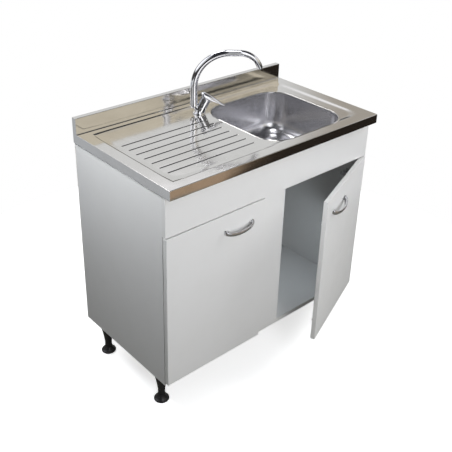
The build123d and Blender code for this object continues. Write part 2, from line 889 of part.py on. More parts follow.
for side, frame in frames_rest.items():
    with BuildPart() as door:
        frame.block(outer_edge_u, free_edge_u, outer_face_v, inner_face_v, door_bottom, door_top)
        fillet(door.edges(), door_edge_radius)
        for height in hinge_heights:
            cup_place = frame.facing(cup_centre_u, inner_face_v, height)
            disc(cup_place, cup_radius + cup_bore_clearance, cup_depth + cup_bore_clearance, Mode.SUBTRACT)
        for step in (-0.5, 0.5):
            screw_place = frame.facing(handle_u + step * handle_screw_spacing, inner_face_v, handle_z)
            disc(screw_place, handle_screw_radius + screw_hole_clearance, board, Mode.SUBTRACT)
    finish(door, f"door_{side}")

    with BuildPart() as handle:
        bow_plane = Plane(
            origin=frame.point(handle_u, outer_face_v, handle_z),
            x_dir=frame.along,
            z_dir=frame.along.cross(frame.outward * handle_projection - Vector(0, 0, handle_drop)),
        )
        bow_rise = math.hypot(handle_projection, handle_drop)
        bow_radius = ((handle_length / 2) ** 2 + bow_rise**2) / (2 * bow_rise)
        bow_half_angle = math.degrees(math.asin(handle_length / 2 / bow_radius)) + handle_root_angle
        with BuildLine(bow_plane) as bow_path:
            CenterArc(
                (0, bow_rise - bow_radius),
                bow_radius,
                90 - bow_half_angle,
                2 * bow_half_angle,
            )
        start = bow_path.line @ 0
        heading = bow_path.line % 0
        with BuildSketch(Plane(origin=start, x_dir=bow_plane.z_dir, z_dir=heading)):
            Ellipse(handle_band_width / 2, handle_band_thickness / 2)
        sweep(path=bow_path.line)
        for step in (-0.5, 0.5):
            post_place = frame.facing(handle_u + step * handle_screw_spacing, outer_face_v, handle_z)
            reach = math.sqrt(bow_radius**2 - (handle_screw_spacing / 2) ** 2) + bow_rise - bow_radius
            disc(post_place, handle_post_radius, reach * handle_projection / bow_rise)
        for step in (-0.5, 0.5):
            hole_place = frame.facing(handle_u + step * handle_screw_spacing, outer_face_v, handle_z)
            disc(hole_place, handle_screw_radius, handle_screw_depth, Mode.SUBTRACT)
        frame.block(
            handle_u - handle_length,
            handle_u + handle_length,
            outer_face_v,
            outer_face_v + board,
            handle_z - board,
            handle_z + board,
            Mode.SUBTRACT,
        )
    finish(handle, f"handle_{side}")

    with BuildPart() as handle_screws:
        for step in (-0.5, 0.5):
            place = frame.facing(handle_u + step * handle_screw_spacing, inner_face_v, handle_z)
            disc(place, handle_screw_radius, board + handle_screw_depth)
            disc(place, screw_head_radius, -screw_head_height)
    finish(handle_screws, f"handle_screws_{side}")

    with BuildPart() as hinge_cups:
        for height in hinge_heights:
            cup_place = frame.facing(cup_centre_u, inner_face_v, height)
            disc(cup_place, cup_radius, cup_depth)
            frame.block(
                cup_centre_u - cup_radius,
                cup_centre_u - cup_radius + cup_flange_width,
                inner_face_v,
                inner_face_v + cup_flange_thickness,
                height - cup_flange_height / 2,
                height + cup_flange_height / 2,
            )
            mouth_place = frame.facing(cup_centre_u, inner_face_v + cup_flange_thickness, height)
            disc(
                mouth_place,
                cup_radius - cup_wall,
                cup_depth + cup_flange_thickness - cup_wall,
                Mode.SUBTRACT,
            )
    finish(hinge_cups, f"hinge_cups_{side}")

    pin_half = math.sqrt((cup_radius - cup_wall) ** 2 - (cup_centre_u + hinge_pin_radius) ** 2)
    with BuildPart() as hinge_pins:
        for height in hinge_heights:
            disc(frame.level(0, 0, height - pin_half), hinge_pin_radius, 2 * pin_half)
    finish(hinge_pins, f"hinge_pins_{side}")

    with BuildPart() as door_bumpers:
        for height in bumper_zs:
            disc(frame.facing(bumper_u, inner_face_v, height), bumper_radius, -bumper_height)
    finish(door_bumpers, f"door_bumpers_{side}")

for side, frame in frames_shut.items():
    with BuildPart() as hinge_arms:
        for height in hinge_heights:
            bar_low = height - arm_bar_height / 2
            bar_high = height + arm_bar_height / 2
            half_bar = arm_bar_thickness / 2
            disc(frame.level(0, 0, bar_low), hinge_eye_radius, arm_bar_height)
            frame.block(0, arm_bar_reach + half_bar, -half_bar, half_bar, bar_low, bar_high)
            frame.block(
                arm_bar_reach - half_bar,
                arm_bar_reach + half_bar,
                -half_bar,
                arm_body_start + arm_body_thickness,
                bar_low,
                bar_high,
            )
            frame.block(
                arm_bar_reach + half_bar - arm_body_thickness,
                arm_bar_reach + half_bar,
                arm_body_start,
                arm_body_start + arm_body_length,
                height - arm_body_height / 2,
                height + arm_body_height / 2,
            )
            disc(
                frame.level(0, 0, bar_low),
                hinge_pin_radius + hinge_pin_clearance,
                arm_bar_height,
                Mode.SUBTRACT,
            )
    finish(hinge_arms, f"hinge_arms_{side}")

    rib_top_u = arm_bar_reach + arm_bar_thickness / 2 - arm_body_thickness
    plate_v = pivot_from_inner_face + door_gap + plate_setback
    with BuildPart() as hinge_plates:
        for height in hinge_heights:
            frame.block(
                side_face_u,
                side_face_u + plate_thickness,
                plate_v - plate_width / 2,
                plate_v + plate_width / 2,
                height - plate_height / 2,
                height + plate_height / 2,
            )
            frame.block(
                side_face_u,
                rib_top_u,
                plate_v - rib_length / 2,
                plate_v + rib_length / 2,
                height - rib_height / 2,
                height + rib_height / 2,
            )
        for place in plate_screw_places(frame):
            disc(place, screw_hole_radius, -plate_thickness, Mode.SUBTRACT)
    finish(hinge_plates, f"hinge_plates_{side}")

plate_shank = wood_screw_length - screw_hole_clearance + plate_thickness
with BuildPart() as hinge_plate_screws:
    for frame in frames_shut.values():
        for place in plate_screw_places(frame):
            pan_screw(place, wood_screw_radius, plate_shank, screw_head_radius, screw_head_height)
finish(hinge_plate_screws, "hinge_plate_screws")

# ---------------------------------------------------------------- tap
tap_turn = math.radians(tap_azimuth)
tap_forward = Vector(math.cos(tap_turn), math.sin(tap_turn), 0)
tap_side = Vector(-math.sin(tap_turn), math.cos(tap_turn), 0)
tap_up = Vector(0, 0, 1)
tap_foot = Vector(tap_x, tap_y, 0)
tap_base_z = recess_z + tap_gasket_thickness
column_top_z = recess_z + column_height


def tap_level(forward, z, sideways=0.0):
    """A level plane at a distance in front of the tap's middle, with x pointing forwards."""
    place = tap_foot + tap_forward * forward + tap_side * sideways + tap_up * z
    return Plane(origin=place, x_dir=tap_forward, z_dir=tap_up)


tilt = math.radians(housing_tilt)
housing_axis = tap_forward * math.sin(tilt) + tap_up * math.cos(tilt)
housing_ahead = tap_forward * math.cos(tilt) - tap_up * math.sin(tilt)
housing_foot = tap_foot + tap_forward * housing_offset + tap_up * tap_base_z


def housing_level(along, ahead=0.0):
    """A plane square to the tilted housing, at a distance up its axis."""
    place = housing_foot + housing_axis * along + housing_ahead * ahead
    return Plane(origin=place, x_dir=housing_ahead, z_dir=housing_axis)


neck_start = tap_foot + tap_up * (tap_base_z + neck_radius)
neck_end = tap_foot + tap_forward * column_offset + tap_up * (tap_base_z + neck_height)
column_foot_z = tap_base_z + neck_height - neck_cover
neck_reach = (neck_end - neck_start).length
neck_plane = Plane(origin=neck_start, x_dir=tap_side, z_dir=neck_end - neck_start)

with BuildPart() as tap_body:
    disc(tap_level(column_offset, column_foot_z), column_radius, column_top_z - column_foot_z)
    fillet(tap_body.edges().group_by(Axis.Z)[0], column_foot_fillet)
    disc(neck_plane, neck_radius, neck_reach)
    disc(tap_level(0, tap_base_z), tap_base_radius, tap_base_height)
    base_top_z = tap_base_z + tap_base_height
    rim = tap_body.edges().filter_by(GeomType.CIRCLE).filter_by_position(Axis.Z, base_top_z, base_top_z)
    fillet(rim, tap_base_fillet)
    disc(tap_level(0, tap_base_z), waist_radius, waist_height)
    disc(housing_level(housing_start), housing_radius, housing_length - housing_start)
    locator_reach = tap_gasket_thickness + locator_length
    disc(tap_level(0, tap_base_z), tap_hole_radius - screw_hole_clearance, -locator_reach)
    disc(
        housing_level(housing_length - cartridge_depth),
        cartridge_radius + cartridge_clearance,
        cartridge_depth,
        Mode.SUBTRACT,
    )
    disc(
        tap_level(column_offset, column_top_z),
        spigot_radius + spigot_clearance,
        -spigot_length - spout_gap,
        Mode.SUBTRACT,
    )
    locator_z = tap_base_z - locator_reach
    for step in (-0.5, 0.5):
        disc(
            tap_level(inlet_offset, locator_z, step * inlet_spacing),
            inlet_radius,
            inlet_depth,
            Mode.SUBTRACT,
        )
    disc(tap_level(stud_offset, locator_z), stud_radius, inlet_depth, Mode.SUBTRACT)
finish(tap_body, "tap_body")

with BuildPart() as tap_gasket:
    ring(tap_level(0, recess_z), tap_base_radius - sheet, tap_hole_radius, tap_gasket_thickness)
finish(tap_gasket, "tap_gasket")

with BuildPart() as tap_stud:
    disc(tap_level(stud_offset, locator_z + inlet_depth), stud_radius, -stud_length)
finish(tap_stud, "tap_stud")

with BuildPart() as tap_clamp_plate:
    clamp_z = under_recess_z - clamp_thickness
    disc(tap_level(0, clamp_z), clamp_radius, clamp_thickness)
    disc(
        tap_level(stud_offset, clamp_z), stud_radius + screw_hole_clearance, clamp_thickness, Mode.SUBTRACT
    )
    with BuildSketch(tap_level(inlet_offset + clamp_radius, clamp_z)):
        SlotOverall(2 * clamp_radius + 2 * clamp_opening_radius, 2 * clamp_opening_radius)
    extrude(amount=clamp_thickness, mode=Mode.SUBTRACT)
finish(tap_clamp_plate, "tap_clamp_plate")

with BuildPart() as tap_nut:
    with BuildSketch(tap_level(stud_offset, clamp_z - nut_height)):
        RegularPolygon(nut_across_flats / 2, 6, major_radius=False)
        Circle(stud_radius + screw_hole_clearance, mode=Mode.SUBTRACT)
    extrude(amount=nut_height)
finish(tap_nut, "tap_nut")

with BuildPart() as tap_cartridge:
    disc(housing_level(housing_length - cartridge_depth), cartridge_radius, cartridge_depth)
    disc(housing_level(housing_length), stem_radius, stem_length)
finish(tap_cartridge, "tap_cartridge")

# swan-neck spout: a straight riser, a wide bend, a short level run and a tight end bend
spout_plane = Plane(
    origin=tap_foot + tap_forward * column_offset,
    x_dir=tap_forward,
    z_dir=tap_forward.cross(tap_up),
)
spout_start_z = column_top_z + spout_gap
bend_start_z = spout_start_z + spout_rise
crown_z = bend_start_z + spout_first_bend
with BuildLine(spout_plane) as spout_path:
    Line((0, spout_start_z), (0, bend_start_z))
    CenterArc((spout_first_bend, bend_start_z), spout_first_bend, 180, -90)
    Line((spout_first_bend, crown_z), (spout_first_bend + spout_flat, crown_z))
    CenterArc(
        (spout_first_bend + spout_flat, crown_z - spout_second_bend),
        spout_second_bend,
        90,
        -spout_tip_turn,
    )
spout_wire = spout_path.wire()


def spout_station(share):
    """The plane square to the spout's middle line at a share of its length."""
    return Plane(origin=spout_wire @ share, z_dir=spout_wire % share, x_dir=spout_plane.z_dir)


with BuildPart() as spout:
    with BuildSketch(spout_station(0.0)):
        Circle(spout_root_radius)
    with BuildSketch(spout_station(spout_mid_share)):
        Circle(spout_mid_radius)
    with BuildSketch(spout_station(1.0)):
        Circle(spout_tip_radius)
    sweep(path=spout_wire, multisection=True)
    disc(tap_level(column_offset, spout_start_z), spigot_radius, -spigot_length)
    tip = spout_station(1.0)
    with BuildSketch(spout_station(0.0)):
        Circle(spout_bore_radius)
    sweep(path=spout_wire, mode=Mode.SUBTRACT)
    disc(tap_level(column_offset, spout_start_z), spout_bore_radius, -spigot_length, Mode.SUBTRACT)
    disc(tip, aerator_radius, -aerator_depth, Mode.SUBTRACT)
finish(spout, "spout")

with BuildPart() as aerator:
    disc(tip.offset(-aerator_depth), aerator_radius - aerator_clearance, aerator_depth + aerator_stand)
    disc(tip.offset(-aerator_depth), aerator_bore_radius, aerator_depth, Mode.SUBTRACT)
    with BuildSketch(tip):
        with GridLocations(
            aerator_hole_pitch, aerator_hole_pitch, aerator_hole_rows, aerator_hole_rows
        ):
            Circle(aerator_hole_radius)
    extrude(amount=aerator_stand, mode=Mode.SUBTRACT)
finish(aerator, "aerator")

hub_start = housing_length + hub_gap
hub_top = hub_start + hub_height
ear_pin_height = hub_top + ear_height / 2
with BuildPart() as lever_hub:
    disc(housing_level(hub_start), hub_radius, hub_height)
    fillet(lever_hub.edges().sort_by(Axis(housing_foot, housing_axis))[-1], ear_pin_radius)
    with BuildSketch(housing_level(hub_top, ear_offset)):
        Rectangle(ear_length, ear_width)
    extrude(amount=ear_height)
    disc(
        housing_level(hub_start),
        stem_radius + cartridge_clearance,
        stem_length + cartridge_clearance,
        Mode.SUBTRACT,
    )
    pin_plane = Plane(
        origin=housing_foot + housing_axis * ear_pin_height + housing_ahead * ear_offset,
        x_dir=housing_ahead,
        z_dir=tap_side,
    )
    ear_half = ear_width / 2 + ear_pin_reach
    disc(pin_plane.offset(-ear_half), ear_pin_radius, 2 * ear_half)
finish(lever_hub, "lever_hub")

lever_back = -lever_overhang
lever_bottom = hub_top + lever_clearance
lever_foot = ear_height / 2 - lever_clearance
pin_drop = 1 if pin_plane.y_dir.dot(housing_axis) < 0 else -1
with BuildPart() as lever:
    root_rise = housing_axis * (lever_bottom + lever_root_thickness / 2)
    root_plane = Plane(
        origin=housing_foot + root_rise + housing_ahead * lever_back,
        x_dir=tap_side,
        z_dir=housing_ahead,
    )
    with BuildSketch(root_plane):
        RectangleRounded(lever_root_width, lever_root_thickness, lever_edge_share * lever_root_thickness)
    with BuildSketch(root_plane.offset(lever_shoulder)):
        RectangleRounded(lever_root_width, lever_root_thickness, lever_edge_share * lever_root_thickness)
    with BuildSketch(root_plane.offset(lever_length)):
        RectangleRounded(lever_tip_width, lever_tip_thickness, lever_edge_share * lever_tip_thickness)
    loft(ruled=True)
    with BuildSketch(pin_plane.offset(-ear_width / 2 - lever_clearance)):
        Circle(ear_slot_radius)
        with Locations((0, pin_drop * ear_height)):
            Rectangle(2 * ear_slot_radius, 2 * ear_height)
    extrude(amount=ear_width + 2 * lever_clearance, mode=Mode.SUBTRACT)
    heel = lever_overhang + ear_offset + lever_heel_margin
    with BuildSketch(pin_plane.offset(-lever_root_width)):
        with BuildLine():
            Polyline(
                (0, pin_drop * lever_foot),
                (-heel, pin_drop * lever_foot),
                (-heel, pin_drop * (lever_foot - heel * math.tan(math.radians(lever_lift)))),
                close=True,
            )
        make_face()
    extrude(amount=2 * lever_root_width, mode=Mode.SUBTRACT)
    ear_reach = ear_half + lever_clearance
    disc(pin_plane.offset(-ear_reach), ear_pin_radius + hinge_pin_clearance, 2 * ear_reach, Mode.SUBTRACT)
finish(lever, "lever")
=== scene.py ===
"""A white two-door kitchen sink unit with a pressed steel top, dressed for its picture.

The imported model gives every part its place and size. The classes below give each part its
finish, and build the parts whose pressed, drawn or cast form wants a finer skin: the sink
top with its drainer, the bowl, the tap's lever and the two bow handles. Everything is in
metres, with +Z up, +X to the right and +Y towards the wall.
"""

import logging
from collections.abc import Callable, Iterable, Sequence
from dataclasses import dataclass
from enum import Enum
from math import ceil, copysign, cos, hypot, pi, prod, radians, sin, sqrt, tan

import bmesh
import bpy
from mathutils import Matrix, Vector


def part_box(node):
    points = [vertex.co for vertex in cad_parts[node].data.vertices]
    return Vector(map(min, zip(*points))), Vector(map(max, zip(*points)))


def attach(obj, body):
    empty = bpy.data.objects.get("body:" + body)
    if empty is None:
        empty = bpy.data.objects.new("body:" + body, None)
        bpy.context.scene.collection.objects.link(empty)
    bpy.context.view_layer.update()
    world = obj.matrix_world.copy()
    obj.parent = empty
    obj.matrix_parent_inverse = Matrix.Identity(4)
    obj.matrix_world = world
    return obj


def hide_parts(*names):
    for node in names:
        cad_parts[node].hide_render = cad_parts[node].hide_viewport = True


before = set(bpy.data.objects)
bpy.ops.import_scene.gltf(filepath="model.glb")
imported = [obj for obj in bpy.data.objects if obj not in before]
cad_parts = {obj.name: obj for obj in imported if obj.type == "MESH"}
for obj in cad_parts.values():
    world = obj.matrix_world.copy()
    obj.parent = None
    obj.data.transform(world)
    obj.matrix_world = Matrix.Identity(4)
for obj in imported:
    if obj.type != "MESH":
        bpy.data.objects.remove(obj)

log = logging.getLogger("sink_unit")

Colour = tuple[float, float, float]
Place = tuple[float, float, float]
Flat = tuple[float, float]
Zone = tuple[float, float, float]
Material = bpy.types.Material
Part = bpy.types.Object
Socket = bpy.types.NodeSocket
Feed = Socket | float | Sequence[float]

WHITE: Colour = (1.0, 1.0, 1.0)
QUARTER = 90.0
MM = 0.001
WELD = 1e-6
CLOSE = 1e-9
SHEET = 0.8 * MM
RIM_LEVEL = 0.847
RIM_TUCK = 0.6 * MM


class Axis(Enum):
    """A direction of the unit's own frame."""

    X = 0
    Y = 1
    Z = 2


# ------------------------------------------------------------------ wiring of shader nodes
class Wiring:
    """Adds nodes to one node tree and joins their sockets."""

    def __init__(self, tree: bpy.types.NodeTree) -> None:
        """Starts on an empty tree."""
        self.tree = tree
        tree.nodes.clear()

    def add(
        self, kind: str, inputs: dict[str | int, Feed] | None = None, **settings: object
    ) -> bpy.types.Node:
        """Adds one node.

        Args:
            kind: The node's class name.
            inputs: What goes into its sockets, by name or number.
            settings: Attributes of the node, by name.

        Returns:
            The new node.
        """
        node = self.tree.nodes.new(kind)
        for name, value in settings.items():
            setattr(node, name, value)
        for key, value in (inputs or {}).items():
            self.feed(node.inputs[key], value)
        return node

    def feed(self, target: Socket, value: Feed) -> None:
        """Joins a socket to an input, or sets the input to a constant.

        Args:
            target: The input.
            value: A socket, a number, a colour or a vector.
        """
        if isinstance(value, bpy.types.NodeSocket):
            self.tree.links.new(value, target)
        elif isinstance(value, (int, float)):
            target.default_value = float(value)
        else:
            target.default_value = (*value, 1.0)[: len(target.default_value)]

    def maths(self, operation: str, first: Feed, second: Feed = 0.0, clamp: bool = False) -> Socket:
        """One step of arithmetic on one or two numbers."""
        settings = {"operation": operation, "use_clamp": clamp}
        return self.add("ShaderNodeMath", {0: first, 1: second}, **settings).outputs[0]

    def times(self, first: Feed, second: Feed) -> Socket:
        """The product of two numbers."""
        return self.maths("MULTIPLY", first, second)

    def scaled(self, value: Feed, factor: float, added: Feed) -> Socket:
        """A number times a factor, plus another number."""
        return self.maths("ADD", self.times(value, factor), added)

    def ramp(
        self, value: Feed, low: float, high: float, out_low: float = 0.0, out_high: float = 1.0
    ) -> Socket:
        """A smooth step from one number to another.

        Args:
            value: The number that is looked at.
            low: Where the step starts.
            high: Where the step ends.
            out_low: The result at and below the start.
            out_high: The result at and above the end.

        Returns:
            The socket with the stepped number.
        """
        inputs = {"Value": value, "From Min": low, "From Max": high}
        inputs.update({"To Min": out_low, "To Max": out_high})
        node = self.add("ShaderNodeMapRange", inputs, interpolation_type="SMOOTHSTEP")
        return node.outputs["Result"]

    def mix(self, factor: Feed, first: Feed, second: Feed) -> Socket:
        """Mixes two colours by a factor.

        Args:
            factor: 0 for the first colour, 1 for the second.
            first: The first colour.
            second: The second colour.

        Returns:
            The socket with the mixed colour.
        """
        node = self.add("ShaderNodeMix", data_type="RGBA", blend_type="MIX")
        for name, value in (("Factor", factor), ("A", first), ("B", second)):
            self.feed(node.inputs[name], value)
        return node.outputs["Result"]

    def noise(
        self, vector: Feed, scale: float, detail: float = 2.0, roughness: float = 0.5
    ) -> Socket:
        """Fractal noise between 0 and 1 at a place."""
        inputs = {"Vector": vector, "Scale": scale, "Detail": detail, "Roughness": roughness}
        return self.add("ShaderNodeTexNoise", inputs).outputs["Fac"]

    def cells(self, vector: Feed, scale: float) -> Socket:
        """The distance to the nearest of many scattered points."""
        node = self.add("ShaderNodeTexVoronoi", {"Vector": vector, "Scale": scale})
        return node.outputs["Distance"]

    def stretched(self, vector: Feed, scale: Sequence[float], turn: float = 0.0) -> Socket:
        """A place turned about Z, in radians, then stretched along each axis."""
        inputs = {"Vector": vector, "Rotation": (0.0, 0.0, turn), "Scale": tuple(scale)}
        return self.add("ShaderNodeMapping", inputs).outputs["Vector"]

    def vector(self, operation: str, first: Feed, second: Feed) -> Socket:
        """One step of arithmetic on two vectors, or on a vector and a number."""
        inputs = {0: first, "Scale" if operation == "SCALE" else 1: second}
        return self.add("ShaderNodeVectorMath", inputs, operation=operation).outputs[0]

    def split(self, vector: Feed) -> bpy.types.NodeOutputs:
        """The three coordinates of a place."""
        return self.add("ShaderNodeSeparateXYZ", {0: vector}).outputs

    def bump(
        self, height: Feed, depth: float, strength: float = 1.0, normal: Feed | None = None
    ) -> Socket:
        """Turns a height from 0 to 1 into a normal, for relief of a depth in metres.

        Args:
            height: The height.
            depth: The relief's depth.
            strength: The relief's strength, up to 1.
            normal: The normal to start from; the surface's own if left out.

        Returns:
            The socket with the normal.
        """
        inputs = {"Strength": strength, "Distance": depth, "Height": height}
        if normal is not None:
            inputs["Normal"] = normal
        return self.add("ShaderNodeBump", inputs).outputs["Normal"]

    def surface(self, shader: Socket, kind: str = "ShaderNodeOutputMaterial") -> None:
        """Ends the tree in its output node."""
        self.add(kind, {"Surface": shader})


class EffectGroup:
    """A shader node group with named sockets that many materials place."""

    def __init__(self, name: str, outputs: Iterable[str], **inputs: float) -> None:
        """Makes the empty group, which takes a vector besides its numbers.

        Args:
            name: The group's name.
            outputs: Names of the float outputs.
            inputs: Names of the float inputs with their defaults.
        """
        self.tree = bpy.data.node_groups.new(name, "ShaderNodeTree")
        sockets = self.tree.interface
        sockets.new_socket(name="Vector", in_out="INPUT", socket_type="NodeSocketVector")
        for label, default in inputs.items():
            made = sockets.new_socket(name=label, in_out="INPUT", socket_type="NodeSocketFloat")
            made.default_value = default
        for label in outputs:
            sockets.new_socket(name=label, in_out="OUTPUT", socket_type="NodeSocketFloat")
        self.wiring = Wiring(self.tree)
        self.entry = self.wiring.add("NodeGroupInput").outputs
        self.exit = self.wiring.add("NodeGroupOutput").inputs

    def place(self, wiring: Wiring, vector: Feed, **values: Feed) -> dict[str, Socket]:
        """Places the group in a material.

        Args:
            wiring: The material's wiring.
            vector: The place on the surface.
            values: The other inputs.

        Returns:
            The group's outputs by name.
        """
        node = wiring.add("ShaderNodeGroup", node_tree=self.tree)
        for name, value in {"Vector": vector, **values}.items():
            wiring.feed(node.inputs[name], value)
        return {socket.name: socket for socket in node.outputs}


class Effects:
    """The surface effects that the finishes share."""

    def __init__(self) -> None:
        """Builds each group once."""
        self.brushing = self._brushing()
        self.handling = self._handling()
        self.skin = self._skin()
        self.board_edge = self._board_edge()

    def _brushing(self) -> EffectGroup:
        """Fine parallel lines left by rolling and polishing, with a few deeper scratches.

        Returns:
            The group.
        """
        sizes = {"Along": 4.0, "Across": 900.0, "Scratch": 0.5}
        group = EffectGroup("brushed_lines", ("Lines", "Scratches"), **sizes)
        w, entry = group.wiring, group.entry
        place = w.split(entry["Vector"])
        ways = ("Along", "Across", "Across")
        spread = {index: w.times(place[index], entry[way]) for index, way in enumerate(ways)}
        joined = w.add("ShaderNodeCombineXYZ", spread).outputs[0]
        w.feed(group.exit["Lines"], w.noise(joined, 1.0, 3.0, 0.6))
        deep = w.ramp(w.noise(w.vector("SCALE", joined, 0.23), 1.0, 1.0), 0.66, 0.74)
        w.feed(group.exit["Scratches"], w.times(deep, entry["Scratch"]))
        return group

    def _handling(self) -> EffectGroup:
        """Soft wiped patches and small marks that cleaning and hands leave.

        Returns:
            The group.
        """
        group = EffectGroup("handling_marks", ("Wipe", "Spots"), Size=0.12)
        w, entry = group.wiring, group.entry
        scaled = w.vector("DIVIDE", entry["Vector"], entry["Size"])
        w.feed(group.exit["Wipe"], w.ramp(w.noise(scaled, 1.0, 4.0, 0.62), 0.42, 0.68))
        w.feed(group.exit["Spots"], w.ramp(w.cells(scaled, 7.0), 0.05, 0.14, 1.0, 0.0))
        return group

    def _skin(self) -> EffectGroup:
        """The fine uneven skin of pressed laminate and moulded plastic.

        Returns:
            The group.
        """
        group = EffectGroup("fine_skin", ("Grain", "Swell"), Grain=0.001, Swell=0.05)
        w, entry = group.wiring, group.entry
        for name, detail in (("Grain", 2.0), ("Swell", 1.0)):
            scaled = w.vector("DIVIDE", entry["Vector"], entry[name])
            w.feed(group.exit[name], w.noise(scaled, 1.0, detail))
        return group

    def _board_edge(self) -> EffectGroup:
        """The thin glue line beside a board's edge band, from its depth below the face.

        Returns:
            The group.
        """
        group = EffectGroup("board_edge", ("Line", "Edge"), Depth=0.008, Half=0.008, Band=0.0008)
        w, entry = group.wiring, group.entry
        from_face = w.maths("SUBTRACT", entry["Half"], w.maths("ABSOLUTE", entry["Depth"]))
        past_band = w.maths("ABSOLUTE", w.maths("SUBTRACT", from_face, entry["Band"]))
        w.feed(group.exit["Line"], w.ramp(past_band, 0.00005, 0.0002, 1.0, 0.0))
        w.feed(group.exit["Edge"], w.ramp(from_face, 0.0003, 0.0009))
        return group


# ------------------------------------------------------------------ finishes
class Shader:
    """A material under construction, with its Principled shader and the shared effects."""

    def __init__(self, name: str, effects: Effects | None = None) -> None:
        """Makes the material with an empty tree.

        Args:
            name: The material's name.
            effects: The shared node groups.
        """
        self.effects = effects
        self.material = bpy.data.materials.new(name)
        self.material.use_nodes = True
        self.wiring = Wiring(self.material.node_tree)
        self.principled = self.wiring.add("ShaderNodeBsdfPrincipled")
        self.place = self.wiring.add("ShaderNodeTexCoord").outputs["Object"]

    def set(self, **values: Feed) -> None:
        """Sets or joins the Principled shader's inputs, with spaces written as underscores."""
        for name, value in values.items():
            self.wiring.feed(self.principled.inputs[name.replace("_", " ")], value)

    def brushing(self, along: float, across: float, scratch: float) -> dict[str, Socket]:
        """Brushed lines, by how fast they change each way and how strong the scratches are."""
        group = self.effects.brushing
        return group.place(self.wiring, self.place, Along=along, Across=across, Scratch=scratch)

    def marks(self, size: float) -> dict[str, Socket]:
        """Wiped patches and spots of a size in metres."""
        return self.effects.handling.place(self.wiring, self.place, Size=size)

    def skin(self, grain: float, swell: float) -> dict[str, Socket]:
        """Fine grain and broad swell, each of a size in metres."""
        return self.effects.skin.place(self.wiring, self.place, Grain=grain, Swell=swell)

    def toned(self, mask: Feed, amount: float, first: Feed, second: Feed) -> Socket:
        """Lets a second colour show by an amount wherever a mask does."""
        return self.wiring.mix(self.wiring.times(mask, amount), first, second)


@dataclass(frozen=True)
class Finish:
    """One of the unit's finishes. Each kind paints its own surface."""

    name: str

    def build(self, effects: Effects) -> Material:
        """Makes the material.

        Args:
            effects: The shared node groups.

        Returns:
            The finished material.
        """
        shader = Shader(self.name, effects)
        self.paint(shader, shader.wiring)
        shader.wiring.surface(shader.principled.outputs[0])
        return shader.material

    def paint(self, s: Shader, w: Wiring) -> None:
        """Adds the finish's own nodes."""
        raise NotImplementedError


@dataclass(frozen=True)
class BrightSteel(Finish):
    """Rolled stainless sheet polished almost to a mirror, as on the sink top."""

    name: str = "bright_steel"
    colour: Colour = (0.80, 0.785, 0.76)
    tarnish: Colour = (0.72, 0.70, 0.665)
    roughness: float = 0.085
    sheet_wave: float = 0.00026
    line_depth: float = 0.000004
    scratch_depth: float = 0.00001

    def paint(self, s: Shader, w: Wiring) -> None:
        """Long rolling lines, wiped patches and the sheet's slow wave.

        Args:
            s: The material under construction.
            w: Its wiring.
        """
        lines, marks, skin = s.brushing(6.0, 1600.0, 0.6), s.marks(0.16), s.skin(0.004, 0.075)
        worn = w.maths("ADD", w.times(lines["Lines"], 0.05), w.times(marks["Wipe"], 0.04))
        spotted = w.maths("ADD", worn, w.times(marks["Spots"], 0.05))
        s.set(
            Base_Color=s.toned(marks["Wipe"], 0.55, self.colour, self.tarnish),
            Metallic=1.0,
            Roughness=w.maths("ADD", spotted, self.roughness),
            Anisotropic=0.25,
        )
        wave = w.bump(skin["Swell"], self.sheet_wave)
        fine = w.bump(lines["Lines"], self.line_depth, 0.5, wave)
        s.set(Normal=w.bump(lines["Scratches"], self.scratch_depth, 0.35, fine))


@dataclass(frozen=True)
class SatinSteel(Finish):
    """Deep-drawn stainless with a satin grain, as in the bowl."""

    name: str = "satin_steel"
    colour: Colour = (0.72, 0.72, 0.74)
    worn: Colour = (0.66, 0.66, 0.67)
    roughness: float = 0.20
    grain_depth: float = 0.000012
    line_depth: float = 0.000006

    def paint(self, s: Shader, w: Wiring) -> None:
        """Short brushed lines over a fine grain.

        Args:
            s: The material under construction.
            w: Its wiring.
        """
        lines, marks, skin = s.brushing(14.0, 700.0, 0.4), s.marks(0.07), s.skin(0.0016, 0.04)
        s.set(
            Base_Color=s.toned(marks["Wipe"], 0.35, self.colour, self.worn),
            Metallic=1.0,
            Roughness=w.scaled(lines["Lines"], 0.08, self.roughness),
            Anisotropic=0.3,
        )
        grain = w.bump(skin["Grain"], self.grain_depth, 0.6)
        s.set(Normal=w.bump(lines["Lines"], self.line_depth, 0.5, grain))


@dataclass(frozen=True)
class Chrome(Finish):
    """Bright chrome plate over a polished casting or pressing."""

    name: str = "chrome_plate"
    colour: Colour = (0.84, 0.85, 0.88)
    roughness: float = 0.035
    ripple: float = 0.00003

    def paint(self, s: Shader, w: Wiring) -> None:
        """Finger haze, water spots and the polish's slight ripple.

        Args:
            s: The material under construction.
            w: Its wiring.
        """
        marks, skin = s.marks(0.022), s.skin(0.003, 0.018)
        haze = w.maths("ADD", w.times(marks["Wipe"], 0.05), w.times(marks["Spots"], 0.08))
        s.set(
            Base_Color=w.mix(marks["Wipe"], self.colour, shade(self.colour, 0.95)),
            Metallic=1.0,
            Roughness=w.maths("ADD", haze, self.roughness),
            Normal=w.bump(skin["Swell"], self.ripple, 0.8),
        )


